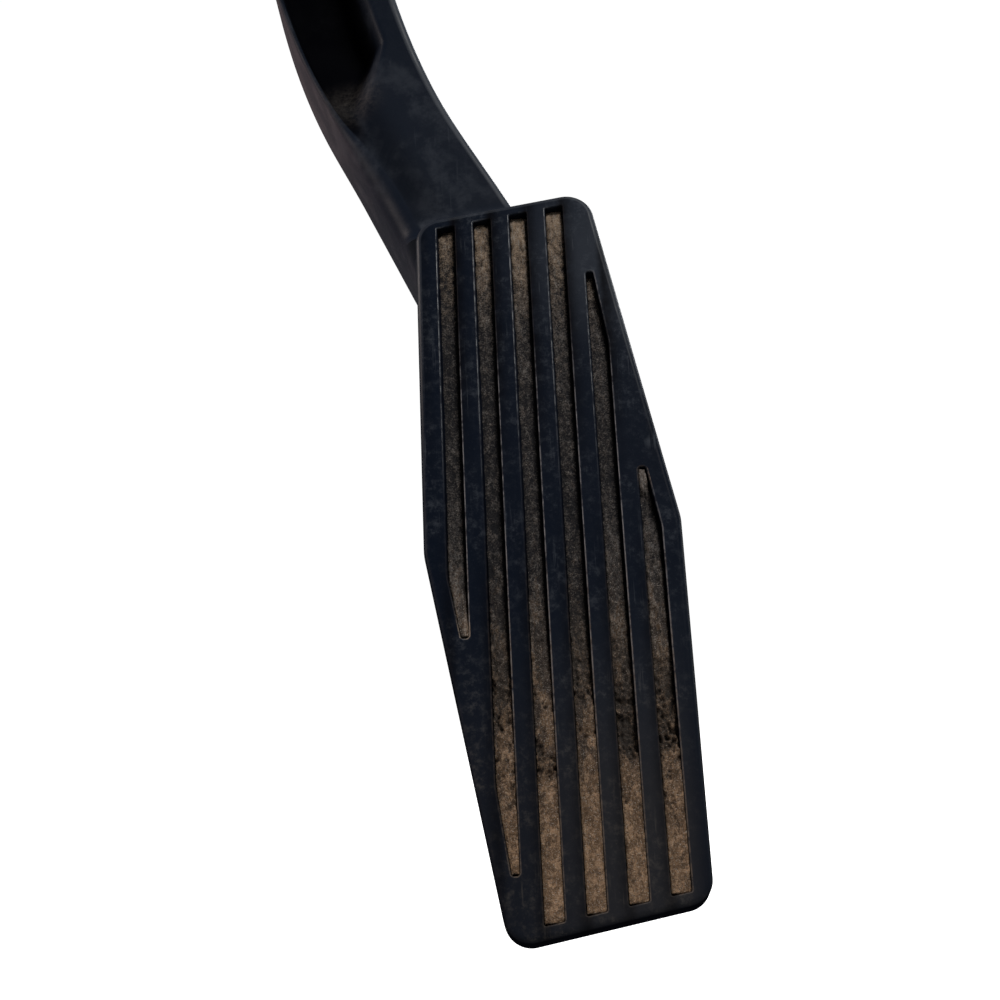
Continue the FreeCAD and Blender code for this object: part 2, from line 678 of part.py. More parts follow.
def spring_rocker():
    """The lower seat: a plate on a half-round foot that turns in the tail's socket."""
    y, z = ROCKER_AXIS.y, ROCKER_AXIS.z
    foot_bar = cylinder_x(ROCKER_R, -ROCKER_HALF, ROCKER_HALF, y, z)
    neck = block((-ROCKER_HALF, ROCKER_HALF), (y - 2.8, y + 2.8), (z, LOWER_FACE - ROCKER_PLATE))
    cap = block((-ROCKER_HALF - 1, ROCKER_HALF + 1), (y - ROCKER_R - 1, y + ROCKER_R + 1), (z + 1.2, z + ROCKER_R + 1))
    plate = Part.makeCylinder(ROCKER_PLATE_R, ROCKER_PLATE, V(0, y, LOWER_FACE - ROCKER_PLATE))
    rim = [e for e in plate.Edges if e.Curve.TypeId == "Part::GeomCircle"]
    return joined(cut(foot_bar, cap), neck, plate.makeFillet(0.5, rim), *spring_end(LOWER_FACE, 1))


def spring_seat():
    """The upper seat under the damping washer."""
    base = V(0, ROCKER_AXIS.y, SEAT_FACE)
    plate = Part.makeCylinder(ROCKER_PLATE_R, 2.0, base)
    return joined(plate, *spring_end(SEAT_FACE, -1))


def damping_washer():
    base = V(0, ROCKER_AXIS.y, SEAT_FACE + 2.0)
    solid = Part.makeCylinder(ROCKER_PLATE_R, 2.0, base)
    return cut(solid, Part.makeCylinder(4.0, 4.0, base - Z_AXIS))


def return_spring(coil_r, wire, turns):
    length = SEAT_FACE - LOWER_FACE - 2 * SPRING_GAP
    return coil(coil_r, wire, turns, length, V(0, ROCKER_AXIS.y, LOWER_FACE + SPRING_GAP), Z_AXIS)


# ---- housing ----
def chamber_circles(shrink):
    """The chamber's outline in (Y, Z) as circles, anticlockwise from its lower front corner."""
    r = CORNER_R - shrink
    return [(CHAMBER_FRONT, CHAMBER_FLOOR, r), (CHAMBER_FRONT, CHAMBER_TOP, r),
            (CHAMBER_REAR, CHAMBER_TOP, r), (PIVOT.y, PIVOT.z, SHELL_R - shrink)]


def ears():
    """Places of the three mounting bolts."""
    return ((LEFT_BOLT_X, LEFT_BOLT_Z), (LEFT_BOLT_X, -LEFT_BOLT_Z), (RIGHT_BOLT_X, RIGHT_BOLT_Z))


def flange():
    corners = [(LEFT_BOLT_X, LEFT_BOLT_Z, EAR_R), (LEFT_BOLT_X, -LEFT_BOLT_Z, EAR_R),
               (RIGHT_BOLT_X, RIGHT_BOLT_Z, EAR_R), (CHAMBER_HALF + 2, CHAMBER_TOP, CORNER_R + 1)]
    plate = prism(hull_edges(corners, lambda a, b: V(a, -FLANGE_THICK, b)), Y_AXIS * FLANGE_THICK)
    bosses = [cylinder_y(EAR_R - 1, -EAR_BOSS, 0, x, z) for x, z in ears()]
    ribs = [block((LEFT_BOLT_X - 1.2, LEFT_BOLT_X + 1.2), (-EAR_BOSS, 0), (-LEFT_BOLT_Z, LEFT_BOLT_Z))]
    for side in (1, -1):
        z = side * LEFT_BOLT_Z
        ribs.append(block((LEFT_BOLT_X, -OUTER_WALL - 3), (-EAR_BOSS, 0), (z - 1.2, z + 1.2)))
    ribs.append(block((OUTER_WALL - 3, RIGHT_BOLT_X), (-EAR_BOSS, 0), (RIGHT_BOLT_Z - 1.2, RIGHT_BOLT_Z + 1.2)))
    for x in (-TAB_HALF, TAB_HALF - RIB):
        ribs.append(block((x, x + RIB), (SHELF_END + 1, -1), (CHAMBER_FLOOR - TAB_DROP, CHAMBER_FLOOR - 2)))
    return joined(plate, *bosses, *ribs)


def shoe_line(start, length, radius):
    """A cylinder along the friction shoe's line, from a distance out of the pivot."""
    angle = math.radians(SHOE_ANGLE)
    direction = V(0, math.cos(angle), math.sin(angle))
    return Part.makeCylinder(radius, length, PIVOT + direction * start, direction)


def stop_tab():
    """The tab below the floor that carries the full-travel bumper."""
    return block((-TAB_HALF, TAB_HALF), (SHELF_END, SHELF_END + TAB_THICK),
                 (CHAMBER_FLOOR - TAB_DROP, CHAMBER_FLOOR - 1))


def bumper_height():
    return CHAMBER_FLOOR - TAB_DROP + BUMPER_R + 2.0


def sensor_ring():
    ring = cylinder_x(RING_OUT_R, OUTER_WALL - 1, SENSOR_END, PIVOT.y, PIVOT.z)
    lugs = [cylinder_x(SCREW_BOSS_R, OUTER_WALL - 1, SENSOR_END, *around_pivot(LUG_RADIUS, a)[1:])
            for a in LUG_ANGLES]
    return joined(ring, *lugs)


def posts():
    return [cylinder_x(POST_R, OUTER_WALL - 1, BOARD_X, *around_pivot(POST_RADIUS, a)[1:])
            for a in LUG_ANGLES]


def housing():
    outer = side_prism(hull_edges, chamber_circles(0), -CHAMBER_HALF, OUTER_WALL)
    inner = side_prism(hull_edges, chamber_circles(WALL), -CHAMBER_HALF - 1, CHAMBER_HALF)
    screw_bosses = [cylinder_x(SCREW_BOSS_R, -CHAMBER_HALF, OUTER_WALL, y, z) for y, z in SCREW_PLACES]
    shoe_boss = shoe_line(HUB_R + 3, SHELL_R - HUB_R - 3 + 12, SHOE_BOSS_R)
    shell = joined(outer, flange(), stop_tab(), sensor_ring(), shoe_boss, *screw_bosses)
    gate = block((-CHAMBER_HALF - 1, CHAMBER_HALF), (PIVOT.y - SHELL_R - 5, SHELF_END),
                 (PIVOT.z - SHELL_R - 5, ARM_GATE_TOP))
    drum_room = cylinder_x(HUB_R + 3, -CHAMBER_HALF - 1, CHAMBER_HALF, PIVOT.y, PIVOT.z)
    sensor_room = cut(cylinder_x(RING_IN_R, OUTER_WALL, SENSOR_END + 1, PIVOT.y, PIVOT.z), *posts())
    seal_groove = cut(cylinder_x(SEAL_R + 0.8, SENSOR_END - 1.2, SENSOR_END + 1, PIVOT.y, PIVOT.z),
                      cylinder_x(SEAL_R - 0.8, SENSOR_END - 2, SENSOR_END + 2, PIVOT.y, PIVOT.z))
    bush_hole = cylinder_x(SHAFT_R + BUSH_WALL, CHAMBER_HALF - 1, OUTER_WALL + 1, PIVOT.y, PIVOT.z)
    shoe_bore = shoe_line(HUB_R, SHELL_R + 30, SHOE_R + 0.1)
    bolt_holes = [cylinder_y(SLEEVE_R, -EAR_BOSS - 1, 1, x, z) for x, z in ears()]
    screw_holes = [cylinder_x(SCREW_R, -CHAMBER_HALF - 1, -OUTER_WALL + SCREW_LENGTH, y, z)
                   for y, z in SCREW_PLACES]
    lug_holes = [cylinder_x(SCREW_R, COVER_END - SCREW_LENGTH, SENSOR_END + 1, *around_pivot(LUG_RADIUS, a)[1:])
                 for a in LUG_ANGLES]
    stem = cylinder_y(BUMPER_STEM_R, SHELF_END - 1, SHELF_END + TAB_THICK + 1, 0, bumper_height())
    idle_hole = Part.makeCylinder(BUMPER_STEM_R, 8, V(0, ROCKER_AXIS.y, CHAMBER_FLOOR - 6))
    trimmed = cut(shell, inner, gate, drum_room, sensor_room, seal_groove, bush_hole, shoe_bore, stem, idle_hole)
    cover_room = block((-OUTER_WALL - 5, -CHAMBER_HALF), (PIVOT.y - 60, -FLANGE_THICK), (-60, 60))
    kept_bosses = [cylinder_y(EAR_R + 2, -EAR_BOSS - 1, 0, x, z) for x, z in ears()[:2]]
    return cut(trimmed, cut(cover_room, *kept_bosses), *bolt_holes, *screw_holes, *lug_holes)


def side_cover():
    """The removable left wall of the chamber, with the boss of its bush."""
    plate = side_prism(hull_edges, chamber_circles(0), -OUTER_WALL, -CHAMBER_HALF)
    lobes = [cylinder_x(SCREW_BOSS_R, -OUTER_WALL, -CHAMBER_HALF, y, z) for y, z in SCREW_PLACES]
    boss = cylinder_x(CLIP_R + 3.5, -OUTER_WALL - 4, -OUTER_WALL, PIVOT.y, PIVOT.z)
    body = joined(plate, boss, *lobes)
    well = cylinder_x(CLIP_R + 1.0, -OUTER_WALL - 5, -OUTER_WALL, PIVOT.y, PIVOT.z)
    hole = cylinder_x(SHAFT_R + BUSH_WALL, -OUTER_WALL - 5, -CHAMBER_HALF + 1, PIVOT.y, PIVOT.z)
    behind = block((-OUTER_WALL - 5, 0), (-FLANGE_THICK - 0.1, 10), (-80, 80))
    screws = [cylinder_x(SCREW_R + 0.2, -OUTER_WALL - 1, 0, y, z) for y, z in SCREW_PLACES]
    return cut(body, well, hole, behind, *screws)


def cover_cap():
    """The plug that closes the left bush's well."""
    low = -OUTER_WALL - 4
    lip = cylinder_x(CLIP_R + 2.6, low - 1.2, low, PIVOT.y, PIVOT.z)
    rim = [e for e in lip.Edges if abs(e.CenterOfMass.x - (low - 1.2)) < 1e-6]
    skirt = cut(cylinder_x(CLIP_R + 1.0, low, low + 1.4, PIVOT.y, PIVOT.z),
                cylinder_x(CLIP_R, low - 0.1, low + 2, PIVOT.y, PIVOT.z))
    return joined(lip.makeFillet(0.8, rim), skirt)


def screw(tip, away, length):
    """A pan-head screw with a cross slot. away points from the tip to the head."""
    direction = X_AXIS * away
    shank = Part.makeCylinder(SCREW_R, length, tip, direction)
    seat = tip + direction * length
    head = Part.makeCylinder(SCREW_HEAD_R, SCREW_HEAD, seat, direction)
    top = [e for e in head.Edges if abs((e.CenterOfMass - seat).dot(direction) - SCREW_HEAD) < 1e-6]
    head = head.makeFillet(1.0, top)
    high = seat.x + away * SCREW_HEAD
    deep = high - away * 1.3
    span = (min(high, deep) - (1 if away < 0 else 0), max(high, deep) + (1 if away > 0 else 0))
    y, z, half, arm = seat.y, seat.z, SCREW_SLOT / 2, 2.0
    slots = [block(span, (y - half, y + half), (z - arm, z + arm)),
             block(span, (y - arm, y + arm), (z - half, z + half))]
    return cut(shank.fuse(head), *slots)


def mounting_sleeves():
    return Part.makeCompound([cut(cylinder_y(SLEEVE_R, -EAR_BOSS, 0, x, z),
                                  cylinder_y(BOLT_R, -EAR_BOSS - 1, 1, x, z)) for x, z in ears()])


def full_travel_bumper():
    """A rubber button in the tab, its nose bevelled to meet the arm squarely at full travel."""
    z = bumper_height()
    swing = math.radians(PAD_LEAN - ARM_BEND - TRAVEL)
    drop = PIVOT.z - z
    face = PIVOT.y - drop * math.tan(swing) + ARM_HALF_DEPTH / math.cos(swing) + STOP_GAP
    head = cylinder_y(BUMPER_R, face - 4, SHELF_END, 0, z)
    slab = block((-20, 20), (face - 30, face), (z - 20, z + 20))
    slab.rotate(V(0, face, z), X_AXIS, -math.degrees(swing))
    stem = cylinder_y(BUMPER_STEM_R, SHELF_END, SHELF_END + TAB_THICK, 0, z)
    bead = cylinder_y(BUMPER_STEM_R + 0.8, SHELF_END + TAB_THICK, SHELF_END + TAB_THICK + 1.5, 0, z)
    return joined(cut(head, slab), stem, bead)


def idle_bumper():
    """A rubber button under the tail that takes the pedal at rest."""
    top = ROCKER_AXIS.z - TAIL_END_R - STOP_GAP
    floor = floor_height(ROCKER_AXIS.y)
    button = Part.makeCylinder(BUMPER_R, top - floor + 2, V(0, ROCKER_AXIS.y, floor - 2))
    button = cut(button, under_floor())
    rim = [e for e in button.Edges if abs(e.CenterOfMass.z - top) < 1e-6]
    stem_end = floor_height(ROCKER_AXIS.y) - WALL - 0.6
    stem = Part.makeCylinder(BUMPER_STEM_R, floor - stem_end, V(0, ROCKER_AXIS.y, stem_end))
    bead = Part.makeCylinder(BUMPER_STEM_R + 0.8, 1.4, V(0, ROCKER_AXIS.y, stem_end - 1.4))
    return joined(button.makeFillet(0.8, rim), stem, bead)


def floor_line():
    """Tangent points of the chamber's inner floor, front and rear, in (Y, Z)."""
    front, shell = chamber_circles(WALL)[0], chamber_circles(WALL)[3]
    along = V(front[0] - shell[0], front[1] - shell[1], 0)
    length = along.Length
    along.normalize()
    share = (shell[2] - front[2]) / length
    normal = along * share + V(along.y, -along.x, 0) * math.sqrt(1 - share * share)
    return [(c[0] + normal.x * c[2], c[1] + normal.y * c[2]) for c in (front, shell)]


def floor_height(y):
    """Height of the chamber's sloping inner floor."""
    (fy, fz), (sy, sz) = floor_line()
    return fz + (y - fy) * (sz - fz) / (sy - fy)


def under_floor():
    """A wedge that holds everything below the inner floor."""
    ys = (CHAMBER_FRONT, CHAMBER_REAR)
    corners = [V(-20, y, floor_height(y)) for y in ys] + [V(-20, y, -50) for y in reversed(ys)]
    return Part.Face(Part.makePolygon(corners + corners[:1])).extrude(X_AXIS * 40)


def friction_shoe():
    """A lining block, hollowed to the drum, in the angled boss."""
    solid = shoe_line(HUB_R - 2, SHOE_LENGTH + 2, SHOE_R)
    return cut(solid, cylinder_x(HUB_R + SHOE_CLEAR, -20, 20, PIVOT.y, PIVOT.z))


def shoe_at(distance):
    angle = math.radians(SHOE_ANGLE)
    direction = V(0, math.cos(angle), math.sin(angle))
    return PIVOT + direction * distance, direction


def friction_spring():
    base, direction = shoe_at(HUB_R + SHOE_LENGTH + SPRING_GAP)
    return coil(SHOE_SPRING_COIL_R, SHOE_SPRING_WIRE, SHOE_SPRING_TURNS, SHOE_SPRING, base, direction)


def friction_plug():
    """The screwed plug that loads the shoe's spring, with a hexagon socket."""
    inside = HUB_R + SHOE_LENGTH + 2 * SPRING_GAP + SHOE_SPRING
    mouth = SHELL_R + 12.0
    head_base, direction = shoe_at(mouth)
    body = shoe_line(inside, mouth - inside, SHOE_R + 0.1)
    head = Part.makeCylinder(SHOE_BOSS_R - 0.8, SHOE_PLUG_HEAD, head_base, direction)
    far = [e for e in head.Edges if abs((e.CenterOfMass - head_base).dot(direction) - SHOE_PLUG_HEAD) < 1e-6]
    head = head.makeChamfer(0.5, far)
    flat = direction.cross(X_AXIS)
    corners = []
    for i in range(7):
        turn = math.radians(60 * i)
        spoke = X_AXIS * math.cos(turn) + flat * math.sin(turn)
        corners.append(head_base - direction * 0.5 + spoke * SHOE_HEX / 2 / math.cos(math.radians(30)))
    socket = Part.Face(Part.makePolygon(corners)).extrude(direction * (SHOE_PLUG_HEAD + 2))
    return cut(joined(body, head), socket)


# ---- sensor ----
def magnet_rotor():
    """The carrier on the shaft's flat, with a collar between its two magnets."""
    disc = cylinder_x(ROTOR_R, ROTOR_X, ROTOR_X + ROTOR_THICK, PIVOT.y, PIVOT.z)
    collar = cylinder_x(MAGNET_IN_R, ROTOR_X, ROTOR_X + ROTOR_THICK + MAGNET_THICK, PIVOT.y, PIVOT.z)
    bore = cut(cylinder_x(SHAFT_R, ROTOR_X - 1, SHAFT_SENSOR_END + 3, PIVOT.y, PIVOT.z),
               block((ROTOR_X - 2, SHAFT_SENSOR_END + 4), (PIVOT.y - 5, PIVOT.y + 5),
                     (PIVOT.z + SHAFT_R - 1, PIVOT.z + SHAFT_R + 1)))
    rim = cut(disc, cylinder_x(ROTOR_R - 0.7, ROTOR_X + ROTOR_THICK - 0.1, ROTOR_X + 9, PIVOT.y, PIVOT.z))
    return cut(joined(rim, collar), bore)


def sensor_magnets():
    low = ROTOR_X + ROTOR_THICK
    ring = cut(cylinder_x(MAGNET_OUT_R, low, low + MAGNET_THICK, PIVOT.y, PIVOT.z),
               cylinder_x(MAGNET_IN_R, low - 1, low + MAGNET_THICK + 1, PIVOT.y, PIVOT.z),
               block((low - 1, low + 9), (PIVOT.y - MAGNET_SPLIT / 2, PIVOT.y + MAGNET_SPLIT / 2),
                     (PIVOT.z - 20, PIVOT.z + 20)))
    return Part.makeCompound(ring.Solids)


def pin_spots():
    """Y places of the connector's blades."""
    return [PIVOT.y + (i - (PIN_COUNT - 1) / 2) * PIN_PITCH for i in range(PIN_COUNT)]


def pin_x():
    """Inner face of the blades where they rise through the cover."""
    return SENSOR_END + 1.2


def circuit_board():
    disc = cylinder_x(RING_IN_R - BOARD_GAP, BOARD_X, BOARD_X + BOARD_THICK, PIVOT.y, PIVOT.z)
    tools = [block((BOARD_X - 1, BOARD_X + 3), (y - PIN_WIDTH / 2, y + PIN_WIDTH / 2),
                   (PIN_ROW_Z, PIN_ROW_Z + PIN_THICK)) for y in pin_spots()]
    return cut(disc, *tools)


def hall_chips():
    chips = []
    for side in (-1, 1):
        y = PIVOT.y + side * (MAGNET_IN_R + MAGNET_OUT_R) / 2
        half = CHIP_SIZE / 2
        chip = block((BOARD_X - CHIP_THICK, BOARD_X), (y - half, y + half), (PIVOT.z - half, PIVOT.z + half))
        face = [e for e in chip.Edges if abs(e.CenterOfMass.x - BOARD_X + CHIP_THICK) < 1e-6]
        chips.append(chip.makeChamfer(0.25, face))
    return Part.makeCompound(chips)


def board_capacitors():
    low = BOARD_X + BOARD_THICK
    parts = []
    for i in range(4):
        y, z = PIVOT.y + (i - 1.5) * 5.0, PIVOT.z - 9.0
        parts.append(block((low, low + 0.9), (y - 0.8, y + 0.8), (z - 1.6, z + 1.6)))
    return Part.makeCompound(parts)


def terminal_pins():
    """Bent blades from the board into the connector, tapered at their tips."""
    tip = SHROUD_TOP - PIN_TOP_GAP
    low = pin_x()
    pins = []
    for y in pin_spots():
        span = (y - PIN_WIDTH / 2, y + PIN_WIDTH / 2)
        rise = block((low, low + PIN_THICK), span, (PIN_ROW_Z, tip))
        ends = [e for e in rise.Edges if abs(e.CenterOfMass.z - tip) < 1e-6]
        foot_bar = block((BOARD_X - 0.6, low + PIN_THICK), span, (PIN_ROW_Z, PIN_ROW_Z + PIN_THICK))
        pins.append(joined(rise.makeChamfer(0.3, ends), foot_bar))
    return Part.makeCompound(pins)


def shroud_spans(grow):
    """X and Y spans of the connector shroud, grown by a distance."""
    middle = pin_x() + PIN_THICK / 2
    return ((middle - SHROUD_DEPTH / 2 - grow, middle + SHROUD_DEPTH / 2 + grow),
            (PIVOT.y - SHROUD_WIDTH / 2 - grow, PIVOT.y + SHROUD_WIDTH / 2 + grow))


def sensor_cover():
    """The lid of the sensor ring, with the upright connector shroud moulded on."""
    rim = cut(cylinder_x(RING_OUT_R, SENSOR_END, COVER_END, PIVOT.y, PIVOT.z),
              cylinder_x(RING_IN_R, SENSOR_END - 1, SENSOR_END + COVER_RIM, PIVOT.y, PIVOT.z))
    lugs = [cylinder_x(SCREW_BOSS_R, SENSOR_END, COVER_END, *around_pivot(LUG_RADIUS, a)[1:])
            for a in LUG_ANGLES]
    spans = shroud_spans(0)
    shroud = block(*spans, (SHROUD_BOTTOM, SHROUD_TOP))
    uprights = [e for e in shroud.Edges if abs(e.tangentAt(e.FirstParameter).z) > 0.9]
    shroud = shroud.makeFillet(3.0, uprights)
    neck = block((SENSOR_END, COVER_END), (spans[1][0] + 3, spans[1][1] - 3), (PIVOT.z + 12, SHROUD_BOTTOM + 1))
    neck = cut(neck, cylinder_x(RING_IN_R, SENSOR_END - 1, SENSOR_END + COVER_RIM, PIVOT.y, PIVOT.z))
    inner = shroud_spans(-SHROUD_WALL)
    cavity = block(*inner, (SHROUD_BOTTOM + SHROUD_FLOOR, SHROUD_TOP + 1))
    corners = [e for e in cavity.Edges if abs(e.tangentAt(e.FirstParameter).z) > 0.9]
    cavity = cavity.makeFillet(1.5, corners)
    slots = [block((pin_x(), pin_x() + PIN_THICK), (y - PIN_WIDTH / 2, y + PIN_WIDTH / 2), (0, SHROUD_TOP))
             for y in pin_spots()]
    latch = block((spans[0][1] - 0.4, spans[0][1] + 1.6), (PIVOT.y - 3, PIVOT.y + 3), (SHROUD_TOP - 9, SHROUD_TOP - 5))
    ledge = [e for e in latch.Edges if abs(e.CenterOfMass.x - latch.BoundBox.XMax) < 1e-6
             and e.CenterOfMass.z > SHROUD_TOP - 5.5]
    holes = [cylinder_x(SCREW_R + 0.2, SENSOR_END - 1, COVER_END + 1, *around_pivot(LUG_RADIUS, a)[1:])
             for a in LUG_ANGLES]
    solid = joined(rim, neck, shroud, latch.makeChamfer(1.2, ledge), *lugs)
    return cut(solid, cavity, *slots, *holes)


def cover_seal():
    torus = Part.makeTorus(SEAL_R, SEAL_WIRE_R - 0.01, V(0, 0, 0), X_AXIS)
    torus.translate(V(SENSOR_END - SEAL_WIRE_R, PIVOT.y, PIVOT.z))
    return torus


# ---- build ----
def parts():
    """Every node of the pedal and its shape."""
    cover_screws = [screw(V(-OUTER_WALL + SCREW_LENGTH, y, z), -1, SCREW_LENGTH) for y, z in SCREW_PLACES]
    sensor_screws = [screw(around_pivot(LUG_RADIUS, a, COVER_END - SCREW_LENGTH), 1, SCREW_LENGTH)
                     for a in LUG_ANGLES]
    return {
        "pedal_pad": pedal_pad(),
        "pedal_arm": pedal_arm(),
        "pivot_shaft": pivot_shaft(),
        "shaft_clip": shaft_clip(),
        "left_bush": flanged_bush(-1),
        "right_bush": flanged_bush(1),
        "spring_rocker": spring_rocker(),
        "spring_seat": spring_seat(),
        "damping_washer": damping_washer(),
        "outer_spring": return_spring(OUTER_COIL_R, OUTER_WIRE, OUTER_TURNS),
        "inner_spring": return_spring(INNER_COIL_R, INNER_WIRE, INNER_TURNS),
        "housing": housing(),
        "side_cover": side_cover(),
        "cover_cap": cover_cap(),
        "side_cover_screws": Part.makeCompound(cover_screws),
        "mounting_sleeves": mounting_sleeves(),
        "idle_bumper": idle_bumper(),
        "full_travel_bumper": full_travel_bumper(),
        "friction_shoe": friction_shoe(),
        "friction_spring": friction_spring(),
        "friction_plug": friction_plug(),
        "magnet_rotor": magnet_rotor(),
        "sensor_magnets": sensor_magnets(),
        "circuit_board": circuit_board(),
        "hall_chips": hall_chips(),
        "board_capacitors": board_capacitors(),
        "terminal_pins": terminal_pins(),
        "sensor_cover": sensor_cover(),
        "cover_seal": cover_seal(),
        "sensor_cover_screws": Part.makeCompound(sensor_screws),
    }


def main():
    os.makedirs("parts", exist_ok=True)
    for name, shape in parts().items():
        print(f"{name}: {len(shape.Solids)} solids, {shape.Volume:.0f} mm3, valid {shape.isValid()}")
        shape.exportStep(os.path.join("parts", name + ".step"))


main()
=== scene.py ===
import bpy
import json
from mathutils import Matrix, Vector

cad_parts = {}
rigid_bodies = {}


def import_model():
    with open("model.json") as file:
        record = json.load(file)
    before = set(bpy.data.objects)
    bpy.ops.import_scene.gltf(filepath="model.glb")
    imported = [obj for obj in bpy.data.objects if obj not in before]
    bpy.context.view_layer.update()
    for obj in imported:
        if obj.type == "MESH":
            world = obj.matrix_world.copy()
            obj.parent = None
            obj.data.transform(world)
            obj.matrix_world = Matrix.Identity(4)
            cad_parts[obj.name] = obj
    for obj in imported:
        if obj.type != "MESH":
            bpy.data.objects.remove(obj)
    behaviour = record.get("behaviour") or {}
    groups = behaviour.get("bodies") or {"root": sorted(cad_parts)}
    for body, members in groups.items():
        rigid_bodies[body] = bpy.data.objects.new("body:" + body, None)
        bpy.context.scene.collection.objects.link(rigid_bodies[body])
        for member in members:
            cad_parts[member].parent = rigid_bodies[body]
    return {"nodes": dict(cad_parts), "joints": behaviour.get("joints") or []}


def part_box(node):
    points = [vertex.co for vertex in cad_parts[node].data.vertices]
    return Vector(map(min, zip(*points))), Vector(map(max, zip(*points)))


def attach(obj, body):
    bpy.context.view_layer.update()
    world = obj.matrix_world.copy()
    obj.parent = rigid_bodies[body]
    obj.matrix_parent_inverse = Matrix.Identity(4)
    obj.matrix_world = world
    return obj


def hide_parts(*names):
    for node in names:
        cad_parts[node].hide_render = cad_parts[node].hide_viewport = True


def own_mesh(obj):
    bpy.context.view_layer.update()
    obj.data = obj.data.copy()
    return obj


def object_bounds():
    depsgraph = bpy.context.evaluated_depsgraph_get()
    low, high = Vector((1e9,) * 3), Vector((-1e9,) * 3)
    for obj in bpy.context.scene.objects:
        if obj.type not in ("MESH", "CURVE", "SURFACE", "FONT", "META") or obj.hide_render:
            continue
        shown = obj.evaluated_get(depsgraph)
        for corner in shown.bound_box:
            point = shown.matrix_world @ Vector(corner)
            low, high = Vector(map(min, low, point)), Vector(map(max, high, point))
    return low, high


bl_info = {
    "name": "Hanging accelerator pedal",
    "version": (1, 0, 0),
    "blender": (4, 5, 0),
    "location": "3D View > Sidebar > Pedal",
    "description": "Builds the looks of a hanging accelerator pedal around its packed frame",
    "category": "Add Mesh",
}

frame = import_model()

import json
import math

import bmesh
import bpy
from bpy.props import FloatProperty, FloatVectorProperty, IntProperty, PointerProperty
from bpy.types import Operator, Panel, PropertyGroup
from mathutils import Matrix, Vector, noise

CAD_BOX = [list(corner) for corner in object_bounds()]
MM = 0.001


def joint_place(name):
    """Place of a joint at rest, in millimetres."""
    return Vector(next(j for j in frame["joints"] if j["name"] == name)["pos_m"]) / MM


PIVOT = joint_place("pedal_pivot")
TAIL_PIN = joint_place("rocker_pivot")


# ---- settings a user would change, lengths in metres ----
def length(name, text, value):
    return FloatProperty(name=name, description=text, default=value, unit="LENGTH", precision=5)


def angle(name, text, degrees):
    return FloatProperty(name=name, description=text, default=math.radians(degrees), unit="ROTATION")


def colour(name, text, value):
    return FloatVectorProperty(name=name, description=text, default=value, size=3, subtype="COLOR",
                               min=0, max=1)


class PlacingSettings(PropertyGroup):
    lean: angle("Pad lean", "Lean of the pad forward of upright", 30.0)
    offset: length("Pad offset", "Pad centre to the right of the hub", 0.0475)
    rise: length("Pivot rise", "Pivot above the pad centre along the pad", 0.200)
    proud: length("Pivot proud", "Pivot in front of the tread", 0.004)


class PadSettings(PropertyGroup):
    half_width: length("Half width", "Half the pad's width", 0.0241)
    top_short: length("Top short side", "Height of the top corner on the straight side", 0.0690)
    top_long: length("Top long corner", "Height of the top corner on the slanting side", 0.0742)
    top_corner: length("Top corner place", "Sideways place of the upper slanting side's corner", 0.0108)
    low_short: length("Low short side", "Drop of the lower corner on the straight side", 0.0681)
    low_long: length("Low long corner", "Drop of the lower corner on the slanting side", 0.0746)
    low_corner: length("Low corner place", "Sideways place of the lower slanting side's corner", 0.01125)
    kink: length("Kink", "Height of the kink in each side", 0.0024)
    thick: length("Thickness", "Thickness of the pad moulding", 0.007)
    shell: length("Tread", "Thickness of the tread in front of the foot plate", 0.004)
    rim: length("Rim", "Width of the rim around the foot plate", 0.0022)
    corner_r: length("Corner radius", "Radius of the four corners", 0.0052)
    kink_r: length("Kink radius", "Radius of the two kinks", 0.014)
    edge_r: length("Edge radius", "Rounding of the tread's outer edge", 0.0012)
    groove_pitch: length("Groove pitch", "Distance between grooves", 0.0073)
    groove_width: length("Groove width", "Width of a groove", 0.0036)
    groove_depth: length("Groove depth", "Depth of a groove", 0.0025)
    groove_shift: length("Groove shift", "The grooves' pattern to the right of the pad's middle", 0.0003)
    top_margin: length("Top margin", "Groove end to the pad's upper end", 0.0024)
    low_margin: length("Low margin", "Groove end to the pad's lower end", 0.0024)
    groove_tip: length("Groove tip", "Width of a tapered groove's tip", 0.0015)
    top_outer_tip: length("Top outer tip", "Height where the outermost groove starts", 0.0128)
    top_inner_tip: length("Top inner tip", "Height where the next groove starts", 0.0555)
    low_outer_tip: length("Low outer tip", "Drop where the outermost groove ends", 0.0192)
    low_inner_tip: length("Low inner tip", "Drop where the next groove ends", 0.0624)
    outer_taper: length("Outer taper", "Length of an outermost groove's taper", 0.0120)
    inner_taper: length("Inner taper", "Length of the next groove's taper", 0.0158)
    lip_r: length("Lip radius", "Rounding of a groove's lip", 0.00032)


class DustSettings(PropertyGroup):
    step: length("Grid step", "Grid step of the caked dust", 0.00026)
    thick: length("Cake thickness", "Thickness of the thickest dust", 0.0008)
    seed: IntProperty(name="Seed", description="Start of the dust's random pattern", default=7)
    light: colour("Light dust", "Colour of dry, pale dust", (0.41, 0.31, 0.225))
    warm: colour("Warm dust", "Colour of the warm soil at the lower end", (0.56, 0.355, 0.215))
    dark: colour("Stained floor", "Colour of the groove's bare, stained floor", (0.016, 0.016, 0.019))


